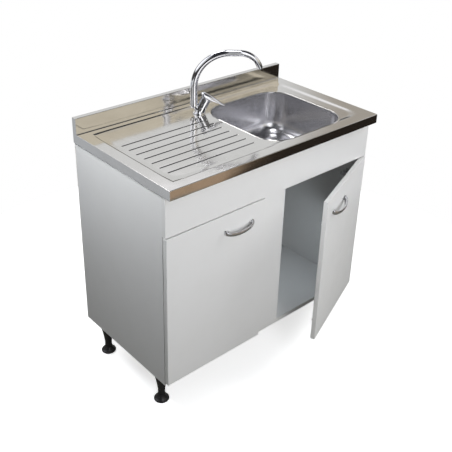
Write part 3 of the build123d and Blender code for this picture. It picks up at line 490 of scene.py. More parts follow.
@dataclass(frozen=True)
class Melamine(Finish):
    """White melamine-faced board with a thin edge band and its fine glue line."""

    across: Axis
    middle: float
    turn: float = 0.0
    pivot: Place = (0.0, 0.0, 0.0)
    half: float = 0.008
    colour: Colour = (0.80, 0.80, 0.797)
    band: Colour = (0.775, 0.772, 0.762)
    glue: Colour = (0.46, 0.44, 0.40)
    worn: Colour = (0.76, 0.76, 0.75)
    roughness: float = 0.30

    def paint(self, s: Shader, w: Wiring) -> None:
        """Foil skin on the faces, and the band with its glue line at the edges.

        Args:
            s: The material under construction.
            w: Its wiring.
        """
        s.place = w.stretched(w.vector("SUBTRACT", s.place, self.pivot), WHITE, self.turn)
        depth = w.maths("SUBTRACT", w.split(s.place)[self.across.value], self.middle)
        edge = s.effects.board_edge.place(w, s.place, Depth=depth, Half=self.half)
        marks, skin = s.marks(0.11), s.skin(0.0011, 0.06)
        banded = s.toned(edge["Edge"], 0.6, self.colour, self.band)
        lined = s.toned(edge["Line"], 0.55, banded, self.glue)
        s.set(
            Base_Color=s.toned(marks["Wipe"], 0.25, lined, self.worn),
            Roughness=w.scaled(skin["Grain"], 0.05, w.scaled(marks["Wipe"], 0.09, self.roughness)),
            Specular_IOR_Level=0.45,
        )
        swell = w.bump(skin["Swell"], 0.05 * MM, 0.5)
        s.set(Normal=w.bump(skin["Grain"], 0.025 * MM, 0.5, swell))


@dataclass(frozen=True)
class ParticleBoard(Finish):
    """Raw pressed chips, as on the battens under the top."""

    name: str = "particle_board"
    light: Colour = (0.60, 0.47, 0.31)
    dark: Colour = (0.36, 0.25, 0.14)

    def paint(self, s: Shader, w: Wiring) -> None:
        """Flat chips of two tones, with gaps between them.

        Args:
            s: The material under construction.
            w: Its wiring.
        """
        chips = w.cells(w.stretched(s.place, (1.0, 0.45, 1.4), 0.4), 420.0)
        skin = s.skin(0.0012, 0.02)
        tone = w.maths("ADD", w.times(chips, 0.7), w.times(skin["Grain"], 0.4))
        s.set(
            Base_Color=w.mix(w.ramp(tone, 0.15, 0.95), self.light, self.dark),
            Roughness=w.scaled(skin["Swell"], 0.1, 0.75),
            Normal=w.bump(tone, 0.3 * MM, 0.7),
        )


@dataclass(frozen=True)
class Hardboard(Finish):
    """Thin pressed fibre board, lacquered white on the inside."""

    name: str = "lacquered_hardboard"
    lacquer: Colour = (0.74, 0.735, 0.715)
    worn: Colour = (0.69, 0.68, 0.65)
    fibre: Colour = (0.34, 0.22, 0.12)
    pale_fibre: Colour = (0.50, 0.36, 0.22)
    back_face: float = -0.0006

    def paint(self, s: Shader, w: Wiring) -> None:
        """Bare fibre behind, lacquer in front.

        Args:
            s: The material under construction.
            w: Its wiring.
        """
        skin, marks = s.skin(0.0008, 0.09), s.marks(0.2)
        place = w.split(s.place)[Axis.Y.value]
        behind = w.ramp(place, self.back_face - 0.2 * MM, self.back_face + 0.2 * MM)
        fibre = s.toned(skin["Grain"], 0.8, self.fibre, self.pale_fibre)
        front = s.toned(marks["Wipe"], 0.4, self.lacquer, self.worn)
        s.set(
            Base_Color=w.mix(behind, front, fibre),
            Roughness=w.scaled(behind, 0.35, 0.42),
            Normal=w.bump(skin["Grain"], 0.06 * MM, 0.6),
        )


@dataclass(frozen=True)
class MouldedPlastic(Finish):
    """Moulded plastic with a fine spark-eroded grain."""

    colour: Colour
    roughness: float
    dust: Colour
    dust_top: float = 0.001
    grain_depth: float = 0.00001

    def paint(self, s: Shader, w: Wiring) -> None:
        """Fine grain, with dust near the floor.

        Args:
            s: The material under construction.
            w: Its wiring.
        """
        skin, marks = s.skin(0.0007, 0.02), s.marks(0.035)
        low = w.ramp(w.split(s.place)[Axis.Z.value], 0.0, self.dust_top, 0.18, 0.0)
        dusted = w.maths("MULTIPLY", low, w.maths("ADD", marks["Wipe"], 0.25), True)
        toned = s.toned(skin["Swell"], 0.3, self.colour, shade(self.colour, 0.8))
        s.set(
            Base_Color=w.mix(dusted, toned, self.dust),
            Roughness=w.scaled(marks["Wipe"], 0.1, self.roughness),
            Normal=w.bump(skin["Grain"], self.grain_depth, 0.6),
        )


@dataclass(frozen=True)
class PlatedSteel(Finish):
    """Pressed steel with a dull nickel or zinc plate."""

    name: str = "plated_steel"
    colour: Colour = (0.60, 0.60, 0.61)
    worn: Colour = (0.48, 0.48, 0.47)
    roughness: float = 0.28

    def paint(self, s: Shader, w: Wiring) -> None:
        """Short drawing lines and dull patches.

        Args:
            s: The material under construction.
            w: Its wiring.
        """
        lines, marks = s.brushing(90.0, 1500.0, 0.8), s.marks(0.015)
        s.set(
            Base_Color=s.toned(marks["Wipe"], 0.6, self.colour, self.worn),
            Metallic=1.0,
            Roughness=w.scaled(marks["Wipe"], 0.15, self.roughness),
            Normal=w.bump(lines["Lines"], 0.01 * MM, 0.5),
        )


@dataclass(frozen=True)
class TurnedBrass(Finish):
    """Machine-turned brass with fine rings."""

    name: str = "turned_brass"
    colour: Colour = (0.72, 0.53, 0.24)
    tarnish: Colour = (0.50, 0.34, 0.15)

    def paint(self, s: Shader, w: Wiring) -> None:
        """Rings along the thread, and tarnished patches.

        Args:
            s: The material under construction.
            w: Its wiring.
        """
        turning = {"wave_type": "BANDS", "bands_direction": "Z"}
        thread = w.add("ShaderNodeTexWave", {"Vector": s.place, "Scale": 200.0}, **turning)
        marks = s.marks(0.01)
        s.set(
            Base_Color=s.toned(marks["Wipe"], 0.5, self.colour, self.tarnish),
            Metallic=1.0,
            Roughness=w.scaled(marks["Wipe"], 0.2, 0.22),
            Normal=w.bump(thread.outputs["Fac"], 0.3 * MM, 0.8),
        )


@dataclass(frozen=True)
class SealRubber(Finish):
    """Soft sealing rubber."""

    name: str = "seal_rubber"
    colour: Colour = (0.028, 0.028, 0.028)
    bloom: Colour = (0.06, 0.06, 0.058)

    def paint(self, s: Shader, w: Wiring) -> None:
        """Dull grain with a paler bloom.

        Args:
            s: The material under construction.
            w: Its wiring.
        """
        skin = s.skin(0.0006, 0.01)
        s.set(
            Base_Color=s.toned(skin["Swell"], 0.6, self.colour, self.bloom),
            Roughness=w.scaled(skin["Grain"], 0.2, 0.6),
            Normal=w.bump(skin["Grain"], 0.05 * MM, 0.6),
        )


@dataclass(frozen=True)
class ClearBumper(Finish):
    """Clear soft plastic dot that cushions a closing door."""

    name: str = "clear_bumper"
    colour: Colour = (0.86, 0.87, 0.87)
    clouded: Colour = (0.80, 0.81, 0.81)

    def paint(self, s: Shader, w: Wiring) -> None:
        """Slightly clouded and partly see-through.

        Args:
            s: The material under construction.
            w: Its wiring.
        """
        skin = s.skin(0.0008, 0.006)
        s.set(
            Base_Color=w.mix(skin["Swell"], self.colour, self.clouded),
            Roughness=w.scaled(skin["Grain"], 0.1, 0.12),
            IOR=1.45,
            Transmission_Weight=0.55,
            Normal=w.bump(skin["Swell"], 0.1 * MM, 0.5),
        )


def shade(colour: Colour, share: float) -> Colour:
    """A colour made darker by a share."""
    return tuple(share * part for part in colour)


# ------------------------------------------------------------------ mesh building
def smooth(share: float) -> float:
    """A smooth step from 0 to 1."""
    held = min(max(share, 0.0), 1.0)
    return held * held * (3.0 - 2.0 * held)


def spot(centre: Flat, radius: float, turn: float) -> Flat:
    """The point of a circle in a direction, given in degrees."""
    angle = radians(turn)
    return centre[0] + radius * cos(angle), centre[1] + radius * sin(angle)


def squared(value: float, squareness: float) -> float:
    """A superellipse's coordinate from a circle's."""
    return copysign(abs(value) ** (2.0 / squareness), value)


class MeshKit:
    """Turns points and faces into pieces that ride on a body."""

    @staticmethod
    def raw(name: str, points: Iterable[Vector], faces: Iterable[Sequence[int]]) -> Part:
        """Links a plain mesh object into the scene.

        Args:
            name: The object's name.
            points: Its corners.
            faces: Corner numbers of each face.

        Returns:
            The new object.
        """
        mesh = bpy.data.meshes.new(name)
        mesh.from_pydata([tuple(point) for point in points], [], [tuple(face) for face in faces])
        made = bpy.data.objects.new(name, mesh)
        bpy.context.scene.collection.objects.link(made)
        return made

    @staticmethod
    def piece(
        name: str,
        points: Sequence[Vector],
        faces: Sequence[Sequence[int]],
        material: Material,
        body: str,
        slot: str,
        sharp: float,
    ) -> Part:
        """Makes one piece.

        Args:
            name: The piece's name.
            points: Its corners, in metres in the unit's frame.
            faces: Corner numbers of each face.
            material: Its finish.
            body: The body that it rides on.
            slot: The record's material slot; not used.
            sharp: Edges that turn by more than this many degrees stay sharp.

        Returns:
            The new object.
        """
        made = MeshKit.raw(name, points, faces)
        mesh = made.data
        cleaner = bmesh.new()
        cleaner.from_mesh(mesh)
        bmesh.ops.remove_doubles(cleaner, verts=cleaner.verts, dist=WELD)
        loose = [vert for vert in cleaner.verts if not vert.link_faces]
        bmesh.ops.delete(cleaner, geom=loose, context="VERTS")
        bmesh.ops.recalc_face_normals(cleaner, faces=cleaner.faces)
        cleaner.to_mesh(mesh)
        cleaner.free()
        mesh.shade_smooth()
        mesh.set_sharp_from_angle(angle=radians(sharp))
        mesh.materials.append(material)
        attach(made, body)
        log.info("%s built with %d faces", name, len(mesh.polygons))
        return made

    @staticmethod
    def sheet_metal(made: Part, thickness: float) -> None:
        """Gives an open skin the thickness of its sheet, behind its face, and keeps flats flat.

        Args:
            made: The piece.
            thickness: The sheet's thickness.
        """
        solid = made.modifiers.new("sheet", "SOLIDIFY")
        solid.thickness = thickness
        solid.offset = -1.0
        flats = made.modifiers.new("flat_faces", "WEIGHTED_NORMAL")
        flats.keep_sharp = True

    @staticmethod
    def turn_faces(made: Part, outward: Callable[[bmesh.types.BMFace], float]) -> None:
        """Turns all faces over where they look the wrong way on the whole.

        Args:
            made: The piece.
            outward: How far a face looks the right way; negative if it looks the wrong way.
        """
        turned = bmesh.new()
        turned.from_mesh(made.data)
        if sum(outward(face) * face.calc_area() for face in turned.faces) < 0.0:
            bmesh.ops.reverse_faces(turned, faces=turned.faces)
        turned.to_mesh(made.data)
        turned.free()

    @staticmethod
    def quads(rows: int, columns: int, closed: bool = False) -> list[list[int]]:
        """Faces between rows of points that are numbered row by row.

        Args:
            rows: How many rows there are.
            columns: How many points a row has.
            closed: Whether each row runs back into its first point.

        Returns:
            The corner numbers of each face.
        """
        faces = []
        for row in range(rows - 1):
            here, there = row * columns, (row + 1) * columns
            for step in range(columns if closed else columns - 1):
                after = (step + 1) % columns
                faces.append([here + step, here + after, there + after, there + step])
        return faces

    @staticmethod
    def lines(low: float, high: float, coarse: float, zones: Iterable[Zone]) -> list[float]:
        """Grid lines that lie closer together in some zones.

        Args:
            low: The first line.
            high: The last line.
            coarse: The largest step outside the zones.
            zones: Each zone's start, end and largest step.

        Returns:
            The places of the lines, in order.
        """
        kept = [zone for zone in zones if zone[1] > low and zone[0] < high]
        breaks = {low, high}
        for start, end, _ in kept:
            breaks.update((max(start, low), min(end, high)))
        ordered = sorted(breaks)
        places = [low]
        for start, end in zip(ordered, ordered[1:]):
            middle = (start + end) / 2
            step = min([coarse] + [zone[2] for zone in kept if zone[0] <= middle <= zone[1]])
            count = max(1, ceil((end - start) / step - CLOSE))
            places.extend(start + (end - start) * index / count for index in range(1, count + 1))
        return places

    @staticmethod
    def arc(centre: Flat, radius: float, start: float, end: float, steps: int) -> list[Flat]:
        """Points on an arc, without its first one, angles in degrees."""
        turns = [start + (end - start) * step / steps for step in range(1, steps + 1)]
        return [spot(centre, radius, turn) for turn in turns]


@dataclass(frozen=True)
class RoundedOutline:
    """A rounded rectangle in plan."""

    middle_x: float
    middle_y: float
    half_x: float
    half_y: float
    radius: float

    @property
    def span_x(self) -> Flat:
        """Its left and right ends."""
        return self.middle_x - self.half_x, self.middle_x + self.half_x

    @property
    def span_y(self) -> Flat:
        """Its front and back ends."""
        return self.middle_y - self.half_y, self.middle_y + self.half_y

    @property
    def core(self) -> Flat:
        """Half the size of the rectangle through its corners' centres."""
        return self.half_x - self.radius, self.half_y - self.radius

    def grown(self, by: float) -> "RoundedOutline":
        """The outline moved outwards by a distance."""
        sizes = (self.half_x + by, self.half_y + by, self.radius + by)
        return RoundedOutline(self.middle_x, self.middle_y, *sizes)

    def distance(self, x: float, y: float) -> float:
        """How far a place lies outside the outline; inside it is negative.

        Args:
            x: The place across.
            y: The place along.

        Returns:
            The distance.
        """
        over_x = abs(x - self.middle_x) - self.half_x + self.radius
        over_y = abs(y - self.middle_y) - self.half_y + self.radius
        outside = hypot(max(over_x, 0.0), max(over_y, 0.0))
        return outside + min(max(over_x, over_y), 0.0) - self.radius

    def nearest(self, x: float, y: float) -> Flat:
        """The outline's point that is nearest to a place outside it.

        Args:
            x: The place across.
            y: The place along.

        Returns:
            The outline's point.
        """
        reach_x, reach_y = self.core
        core_x = min(max(x, self.middle_x - reach_x), self.middle_x + reach_x)
        core_y = min(max(y, self.middle_y - reach_y), self.middle_y + reach_y)
        share = self.radius / hypot(x - core_x, y - core_y)
        return core_x + (x - core_x) * share, core_y + (y - core_y) * share

    def loop(self, arc_steps: int, side_steps: int) -> list[Flat]:
        """Points round the outline, as many for every size of it.

        Args:
            arc_steps: Steps in each corner.
            side_steps: Steps along each straight side.

        Returns:
            The points in order, anticlockwise from the right side's lower end.
        """
        reach_x, reach_y = self.core
        sides = ((1, 1), (-1, 1), (-1, -1), (1, -1))
        centres = [(self.middle_x + x * reach_x, self.middle_y + y * reach_y) for x, y in sides]
        points: list[Flat] = []
        for number, centre in enumerate(centres):
            start, end = QUARTER * number, QUARTER * (number + 1)
            points.append(spot(centre, self.radius, start))
            points += MeshKit.arc(centre, self.radius, start, end, arc_steps)
            last = points[-1]
            ahead = spot(centres[(number + 1) % len(centres)], self.radius, end)
            for step in range(1, side_steps):
                share = step / side_steps
                points.append(tuple(a + (b - a) * share for a, b in zip(last, ahead)))
        return points


BOWL_OPENING = RoundedOutline(0.172, -0.276, 0.178, 0.178, 0.084)


@dataclass
class PressedTop:
    """The steel top: deck, sunken drainer, grooves, rim bead, skirts and upstand."""

    finish: Material
    depth: float = 0.003
    mouth: RoundedOutline = RoundedOutline(0.0, -0.2535, 0.412, 0.2095, 0.008)
    floor: RoundedOutline = RoundedOutline(0.0, -0.255, 0.388, 0.185, 0.045)
    patch: RoundedOutline = BOWL_OPENING.grown(0.010)
    lip_share: float = 0.25
    lip_drop: float = 0.6
    crisp_until: float = -0.14
    soft_from: float = 0.06
    groove_first: float = -0.172
    groove_pitch: float = 0.0385
    groove_count: int = 7
    groove_from: float = -0.3805
    groove_to: float = -0.0435
    groove_half: float = 0.0030
    groove_depth: float = 0.0023
    bead_width: float = 0.004
    bead_height: float = 0.0012
    seat_width: float = 0.0055
    seat_rise: float = 0.003
    edge_roll: float = 0.002
    end_roll: float = 0.0012
    foot_fillet: float = 0.003
    crest_roll: float = 0.0015
    upstand_front: float = -0.020
    lip_reach: float = 0.009
    coarse_step: float = 0.009
    bend_step: float = 0.0035
    ramp_step: float = 0.0022
    fine_step: float = 0.0008
    groove_step: float = 0.00065
    patch_steps: Flat = (0.006, 0.007)
    arc_steps: int = 5
    seat_steps: int = 5
    far_steps: int = 14
    bead_shares: tuple[float, ...] = (0.0, 0.02, 0.08, 0.2, 0.4, 0.65, 1.0, 1.3, 1.7, 2.1)

    def build(self) -> None:
        """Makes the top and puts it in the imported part's place."""
        (_, self.front, self.skirt), (self.half_width, self.back, self.crest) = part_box("sink_top")
        self.deck = RIM_LEVEL + self.depth
        self.points: list[Vector] = []
        self.faces: list[list[int]] = []
        self._surface(self._x_lines(), self._y_lines())
        skin = (self.points, self.faces, self.finish)
        made = MeshKit.piece("sink_top_skin", *skin, "cabinet", "steel_top", 50.0)
        MeshKit.sheet_metal(made, SHEET)
        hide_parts("sink_top")

    def height(self, x: float, y: float) -> float:
        """The level of the pressed surface at a place in plan.

        Args:
            x: The place across.
            y: The place along.

        Returns:
            The level.
        """
        outer, inner = -self.mouth.distance(x, y), self.floor.distance(x, y)
        if outer <= 0.0:
            drop = 0.0
        elif inner <= 0.0:
            drop = self.depth
        else:
            share = outer / (outer + inner)
            along = (x - self.crisp_until) / (self.soft_from - self.crisp_until)
            crisp = self.lip_drop * (1.0 - smooth(along))
            soft = (1.0 - crisp) * smooth(share)
            drop = self.depth * (crisp * smooth(share / self.lip_share) + soft)
        gap = BOWL_OPENING.distance(x, y)
        held = smooth((gap - self.seat_width) / self.seat_rise)
        drop = self.depth + (drop - self.depth) * held
        return self.deck - drop - self._groove(x, y) + self._bead(gap)

    def _groove(self, x: float, y: float) -> float:
        """How deep the nearest drainer groove is at a place.

        Args:
            x: The place across.
            y: The place along.

        Returns:
            The depth, 0 beside the grooves.
        """
        number = round((self.groove_first - y) / self.groove_pitch)
        line = self._groove_line(min(max(number, 0), self.groove_count - 1))
        along = max(self.groove_from - x, x - self.groove_to, 0.0)
        share = hypot(along, y - line) / self.groove_half
        return self.groove_depth * (1.0 - share * share) ** 2 if share < 1.0 else 0.0

    def _groove_line(self, number: int) -> float:
        """Where a groove lies, counted from the back."""
        return self.groove_first - number * self.groove_pitch

    def _bead(self, gap: float) -> float:
        """How high the bowl's rim bead stands at a distance outside the opening.

        Args:
            gap: The distance outside the opening.

        Returns:
            The height, 0 beside the bead.
        """
        half = self.bead_width / 2
        share = (gap - half) / half
        if abs(share) >= 1.0:
            return 0.0
        shape = sqrt(1.0 - share * share) if share < 0.0 else (1.0 - share * share) ** 2
        return self.bead_height * shape

    def _ramp_zones(self, mouth: Flat, floor: Flat) -> list[Zone]:
        """Zones of closer lines over both ramps in one direction.

        Args:
            mouth: Where the recess starts and ends at deck level.
            floor: Where its sunken floor does.

        Returns:
            Each zone's start, end and largest step.
        """
        zones = []
        for side, edge, level in zip((-1, 1), mouth, floor):
            lip, foot = edge - side * self.lip_reach, level - side * 2 * MM
            for start, end, step in (
                (lip, edge + side * MM, self.fine_step),
                (foot, lip, self.ramp_step),
                (level - side * self.floor.radius, foot, self.bend_step),
            ):
                zones.append((min(start, end), max(start, end), step))
        return zones

    def _x_lines(self) -> list[float]:
        """Grid lines across the top, closer at the ramps, groove ends and bowl.

        Returns:
            The places of the lines, in order.
        """
        zones = self._ramp_zones(self.mouth.span_x, self.floor.span_x)
        zones.append((self.groove_to - 3 * MM, self.groove_to + 3.5 * MM, self.fine_step))
        zones.append((self.groove_from - 3.5 * MM, self.groove_from + 3 * MM, self.fine_step))
        zones.append((*self.patch.span_x, self.patch_steps[0]))
        end = self.half_width - self.end_roll
        return MeshKit.lines(-end, end, self.coarse_step, zones)

    def _y_lines(self) -> list[float]:
        """Grid lines along the top, closer at the ramps, across each groove and at the bowl.

        Returns:
            The places of the lines, in order.
        """
        zones = self._ramp_zones(self.mouth.span_y, self.floor.span_y)
        for number in range(self.groove_count):
            line = self._groove_line(number)
            zones.append((line - 3 * MM, line + 3 * MM, self.groove_step))
        zones.append((*self.patch.span_y, self.patch_steps[1]))
        end = self.upstand_front - self.foot_fillet
        return MeshKit.lines(self.front + self.edge_roll, end, self.coarse_step, zones)

    def _front_section(self) -> list[Flat]:
        """The outline from the front skirt's foot up to the deck, as places with levels.

        Returns:
            The outline's points.
        """
        roll, shoulder = self.edge_roll, self.deck - self.edge_roll
        levels = (self.skirt, (self.skirt + self.deck) / 2, shoulder)
        edge = MeshKit.arc((self.front + roll, shoulder), roll, 180.0, 90.0, self.arc_steps)
        return [(self.front, level) for level in levels] + edge[:-1]

    def _rear_section(self) -> list[Flat]:
        """The outline from the deck over the upstand to the back's foot, as places with levels.

        Returns:
            The outline's points.
        """
        face, crest, steps = self.upstand_front, self.crest_roll, self.arc_steps
        shoulder = self.crest - crest
        foot = (face - self.foot_fillet, self.deck + self.foot_fillet)
        rear = MeshKit.arc(foot, self.foot_fillet, -90.0, 0.0, steps)
        rear += [(face, (self.deck + self.crest) / 2), (face, shoulder)]
        rear += MeshKit.arc((face + crest, shoulder), crest, 180.0, 90.0, steps)
        rear.append((self.back - crest, self.crest))
        rear += MeshKit.arc((self.back - crest, shoulder), crest, 90.0, 0.0, steps)
        levels = ((self.deck + self.crest) / 2, self.deck, self.skirt)
        return rear + [(self.back, level) for level in levels]

    def _surface(self, xs: Sequence[float], ys: Sequence[float]) -> None:
        """Lays the whole skin, leaves the bowl's patch out and closes both ends.

        Args:
            xs: Grid lines across.
            ys: Grid lines along.
        """
        front, rear = self._front_section(), self._rear_section()
        columns = [self._column(x, front + [(y, self.height(x, y)) for y in ys] + rear) for x in xs]
        for number, (left, right) in enumerate(zip(columns, columns[1:])):
            middle_x = (xs[number] + xs[number + 1]) / 2
            beside = abs(middle_x - self.patch.middle_x) > self.patch.half_x
            for row in range(len(left) - 1):
                place = row - len(front)
                if 0 <= place < len(ys) - 1 and not beside:
                    middle_y = (ys[place] + ys[place + 1]) / 2
                    if abs(middle_y - self.patch.middle_y) < self.patch.half_y:
                        continue
                self.faces.append([left[row], right[row], right[row + 1], left[row + 1]])
        self._end(-1, columns[0])
        self._end(1, columns[-1])
        self._rings(xs, ys)

    def _column(self, x: float, section: Iterable[Flat]) -> range:
        """Adds one section's points at a place across and returns their numbers."""
        return self._add(Vector((x, y, z)) for y, z in section)

    def _add(self, points: Iterable[Vector]) -> range:
        """Adds points and returns their numbers.

        Args:
            points: The points.

        Returns:
            Their numbers.
        """
        start = len(self.points)
        self.points.extend(points)
        return range(start, len(self.points))

    def _end(self, side: int, column: Sequence[int]) -> None:
        """Rolls one end over and closes it with a flat face.

        Args:
            side: -1 at the left end, 1 at the right.
            column: The outermost section's point numbers.
        """
        line = [(self.points[index].y, self.points[index].z) for index in column]
        previous = column
        for step in range(1, self.arc_steps + 1):
            angle = radians(90.0 * step / self.arc_steps)
            inset = self.end_roll * (1.0 - cos(angle))
            x = side * (self.half_width - self.end_roll * (1.0 - sin(angle)))
            moved = []
            for number, (y, z) in enumerate(line):
                before, after = line[max(number - 1, 0)], line[min(number + 1, len(line) - 1)]
                run_y, run_z = after[0] - before[0], after[1] - before[1]
                length = hypot(run_y, run_z)
                moved.append((y + run_z / length * inset, z - run_y / length * inset))
            current = self._column(x, moved)
            for row in range(len(column) - 1):
                after = row + 1
                self.faces.append([previous[row], current[row], current[after], previous[after]])
            previous = current
        self.faces.append(list(previous))

    def _rings(self, xs: Sequence[float], ys: Sequence[float]) -> None:
        """Meshes the deck round the bowl, from the patch's border to the opening.

        Args:
            xs: Grid lines across.
            ys: Grid lines along.
        """
        (left, right), (front, back) = self.patch.span_x, self.patch.span_y
        across = [x for x in xs if left - CLOSE <= x <= right + CLOSE]
        along = [y for y in ys if front - CLOSE <= y <= back + CLOSE]
        border = [(x, front) for x in across[:-1]] + [(right, y) for y in along[:-1]]
        border += [(x, back) for x in reversed(across[1:])]
        border += [(left, y) for y in reversed(along[1:])]
        gaps = [share * self.bead_width / 2 for share in self.bead_shares]
        seat = [step / self.seat_steps for step in range(self.seat_steps)]
        gaps += [self.seat_width + self.seat_rise * share for share in seat]
        seat_end = self.seat_width + self.seat_rise
        far = [step / self.far_steps for step in range(self.far_steps + 1)]
        loops = []
        for x, y in border:
            rim_x, rim_y = BOWL_OPENING.nearest(x, y)
            reach = hypot(x - rim_x, y - rim_y)
            away_x, away_y = (x - rim_x) / reach, (y - rim_y) / reach
            column = [Vector((rim_x, rim_y, RIM_LEVEL - RIM_TUCK))]
            for length in gaps + [seat_end + (reach - seat_end) * share for share in far]:
                place = (rim_x + away_x * length, rim_y + away_y * length)
                column.append(Vector((*place, self.height(*place))))
            loops.append(self._add(column))
        for here, there in zip(loops, loops[1:] + loops[:1]):
            for row in range(len(here) - 1):
                self.faces.append([here[row], here[row + 1], there[row + 1], there[row]])


@dataclass
class BowlShell:
    """The deep-drawn bowl, with its tapered walls and dished floor."""

    finish: Material
    floor_level: float = 0.697
    dish: float = 0.0025
    taper: float = 5.0
    floor_radius: float = 0.045
    flange_radius: float = 0.056
    hole_radius: float = 0.046
    arc_steps: int = 14
    side_steps: int = 12
    wall_rings: int = 14
    fillet_rings: int = 14
    floor_rings: int = 12

    def build(self) -> None:
        """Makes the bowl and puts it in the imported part's place."""
        taper = radians(self.taper)
        top = RIM_LEVEL - RIM_TUCK
        base = self.floor_level + self.dish
        wall_foot = base + self.floor_radius * (1.0 - sin(taper))
        rings = []
        for step in range(self.wall_rings + 1):
            level = top + (wall_foot - top) * step / self.wall_rings
            rings.append(self._ring((top - level) * tan(taper), level))
        inset = (top - wall_foot) * tan(taper) + self.floor_radius * cos(taper)
        for step in range(1, self.fillet_rings + 1):
            angle = taper + (pi / 2 - taper) * step / self.fillet_rings
            level = base + self.floor_radius * (1.0 - sin(angle))
            rings.append(self._ring(inset - self.floor_radius * cos(angle), level))
        border = self._ring(inset, base)
        for step in range(1, self.floor_rings + 1):
            share = step / self.floor_rings
            level = self.floor_level + self.dish * (1.0 - smooth(share))
            rings.append(self._drawn_in(border, share, self.flange_radius, level))
        rings.append(self._drawn_in(border, 1.0, self.hole_radius, self.floor_level - SHEET / 2))
        points = [point for ring in rings for point in ring]
        faces = MeshKit.quads(len(rings), len(border), closed=True)
        skin = (points, faces, self.finish)
        made = MeshKit.piece("sink_bowl_skin", *skin, "cabinet", "steel_bowl", 60.0)
        MeshKit.turn_faces(made, lambda face: face.normal.z)
        MeshKit.sheet_metal(made, SHEET)
        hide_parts("sink_bowl")

    def _ring(self, inset: float, level: float) -> list[Vector]:
        """The opening's outline, moved inwards, at a level."""
        outline = BOWL_OPENING.grown(-inset)
        return [Vector((x, y, level)) for x, y in outline.loop(self.arc_steps, self.side_steps)]

    @staticmethod
    def _drawn_in(
        border: Sequence[Vector], share: float, radius: float, level: float
    ) -> list[Vector]:
        """A ring between the floor's border and a circle round the waste.

        Args:
            border: The border's points.
            share: 0 at the border, 1 at the circle.
            radius: The circle's radius.
            level: The ring's level.

        Returns:
            The ring's points.
        """
        waste = Vector((BOWL_OPENING.middle_x, BOWL_OPENING.middle_y))
        ring = []
        for point in border:
            away = point.to_2d() - waste
            place = waste + away.normalized() * (away.length + (radius - away.length) * share)
            ring.append(Vector((*place, level)))
        return ring


@dataclass
class CrownedLever:
    """The tap's lever: a crowned blade, hollow underneath, broad at its heel, slim at its tip."""

    finish: Material
    pin: Place = (-0.008079, -0.118681, 0.908267)
    turn: float = 50.0
    tilt: float = 25.0
    lift: float = 25.0
    overhang: float = 0.0145
    reach: float = 0.079
    root_half: float = 0.0155
    tip_half: float = 0.0062
    underside: float = -0.0026
    tip_rise: float = 0.0008
    root_top: float = 0.0122
    tip_top: float = 0.0016
    thinnest: float = 0.0008
    slim_from: float = -0.004
    crown_from: float = 0.004
    rise_from: float = 0.025
    bluntness: float = 0.02
    core: float = 0.02
    heel_round: float = 0.014
    tip_round: float = 0.007
    squareness: float = 2.5
    wall: float = 0.0013
    stations: int = 40
    across: int = 20

    def build(self) -> None:
        """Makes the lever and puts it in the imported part's place."""
        turn, tilt = radians(self.turn), radians(self.tilt)
        up = Vector((0.0, 0.0, 1.0))
        level = Vector((sin(turn), -cos(turn), 0.0))
        side = Vector((cos(turn), sin(turn), 0.0))
        rise = level * sin(tilt) + up * cos(tilt)
        ahead = level * cos(tilt) - up * sin(tilt)
        foot = Vector(self.pin)
        points = []
        for station in range(self.stations + 1):
            share = (1.0 - cos(pi * station / self.stations)) / 2.0
            run = -self.overhang + (self.overhang + self.reach) * share
            half, low, high = self._section(run)
            for step in range(self.across + 1):
                angle = pi * step / self.across
                sideways = -squared(cos(angle), self.squareness) * half
                height = low + (high - low) * squared(sin(angle), self.squareness)
                points.append(foot + ahead * run + side * sideways + rise * height)
        faces = MeshKit.quads(self.stations + 1, self.across + 1)
        made = MeshKit.piece("lever_blade", points, faces, self.finish, "lever", "chrome", 60.0)
        middle = foot + ahead * self.core
        MeshKit.turn_faces(made, lambda face: (face.calc_center_median() - middle).dot(face.normal))
        MeshKit.sheet_metal(made, self.wall)
        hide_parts("lever")

    def _section(self, run: float) -> Place:
        """The blade's section at a place along it.

        Args:
            run: The place, measured ahead of the pin.

        Returns:
            Half width, height of the lower edge and height of the crown above the pin.
        """
        half = self._tapered(self.root_half, self.tip_half, self.slim_from, run)
        heel = min((run + self.overhang) / self.heel_round, 1.0)
        tip = min((self.reach - run) / self.tip_round, 1.0)
        ends = [sqrt(max(1.0 - (1.0 - end) ** 2, 0.0)) for end in (heel, tip)]
        closed = max(prod(ends), self.bluntness)
        low = self.underside + max(-run, 0.0) * tan(radians(self.lift))
        low += self._tapered(0.0, self.tip_rise, self.rise_from, run)
        high = self._tapered(self.root_top, self.tip_top, self.crown_from, run)
        return half * closed, low, low + max(high - low, self.thinnest) * closed

    def _tapered(self, root: float, tip: float, start: float, run: float) -> float:
        """A size that changes smoothly from a place on the blade to its tip."""
        return root + (tip - root) * smooth((run - start) / (self.reach - start))


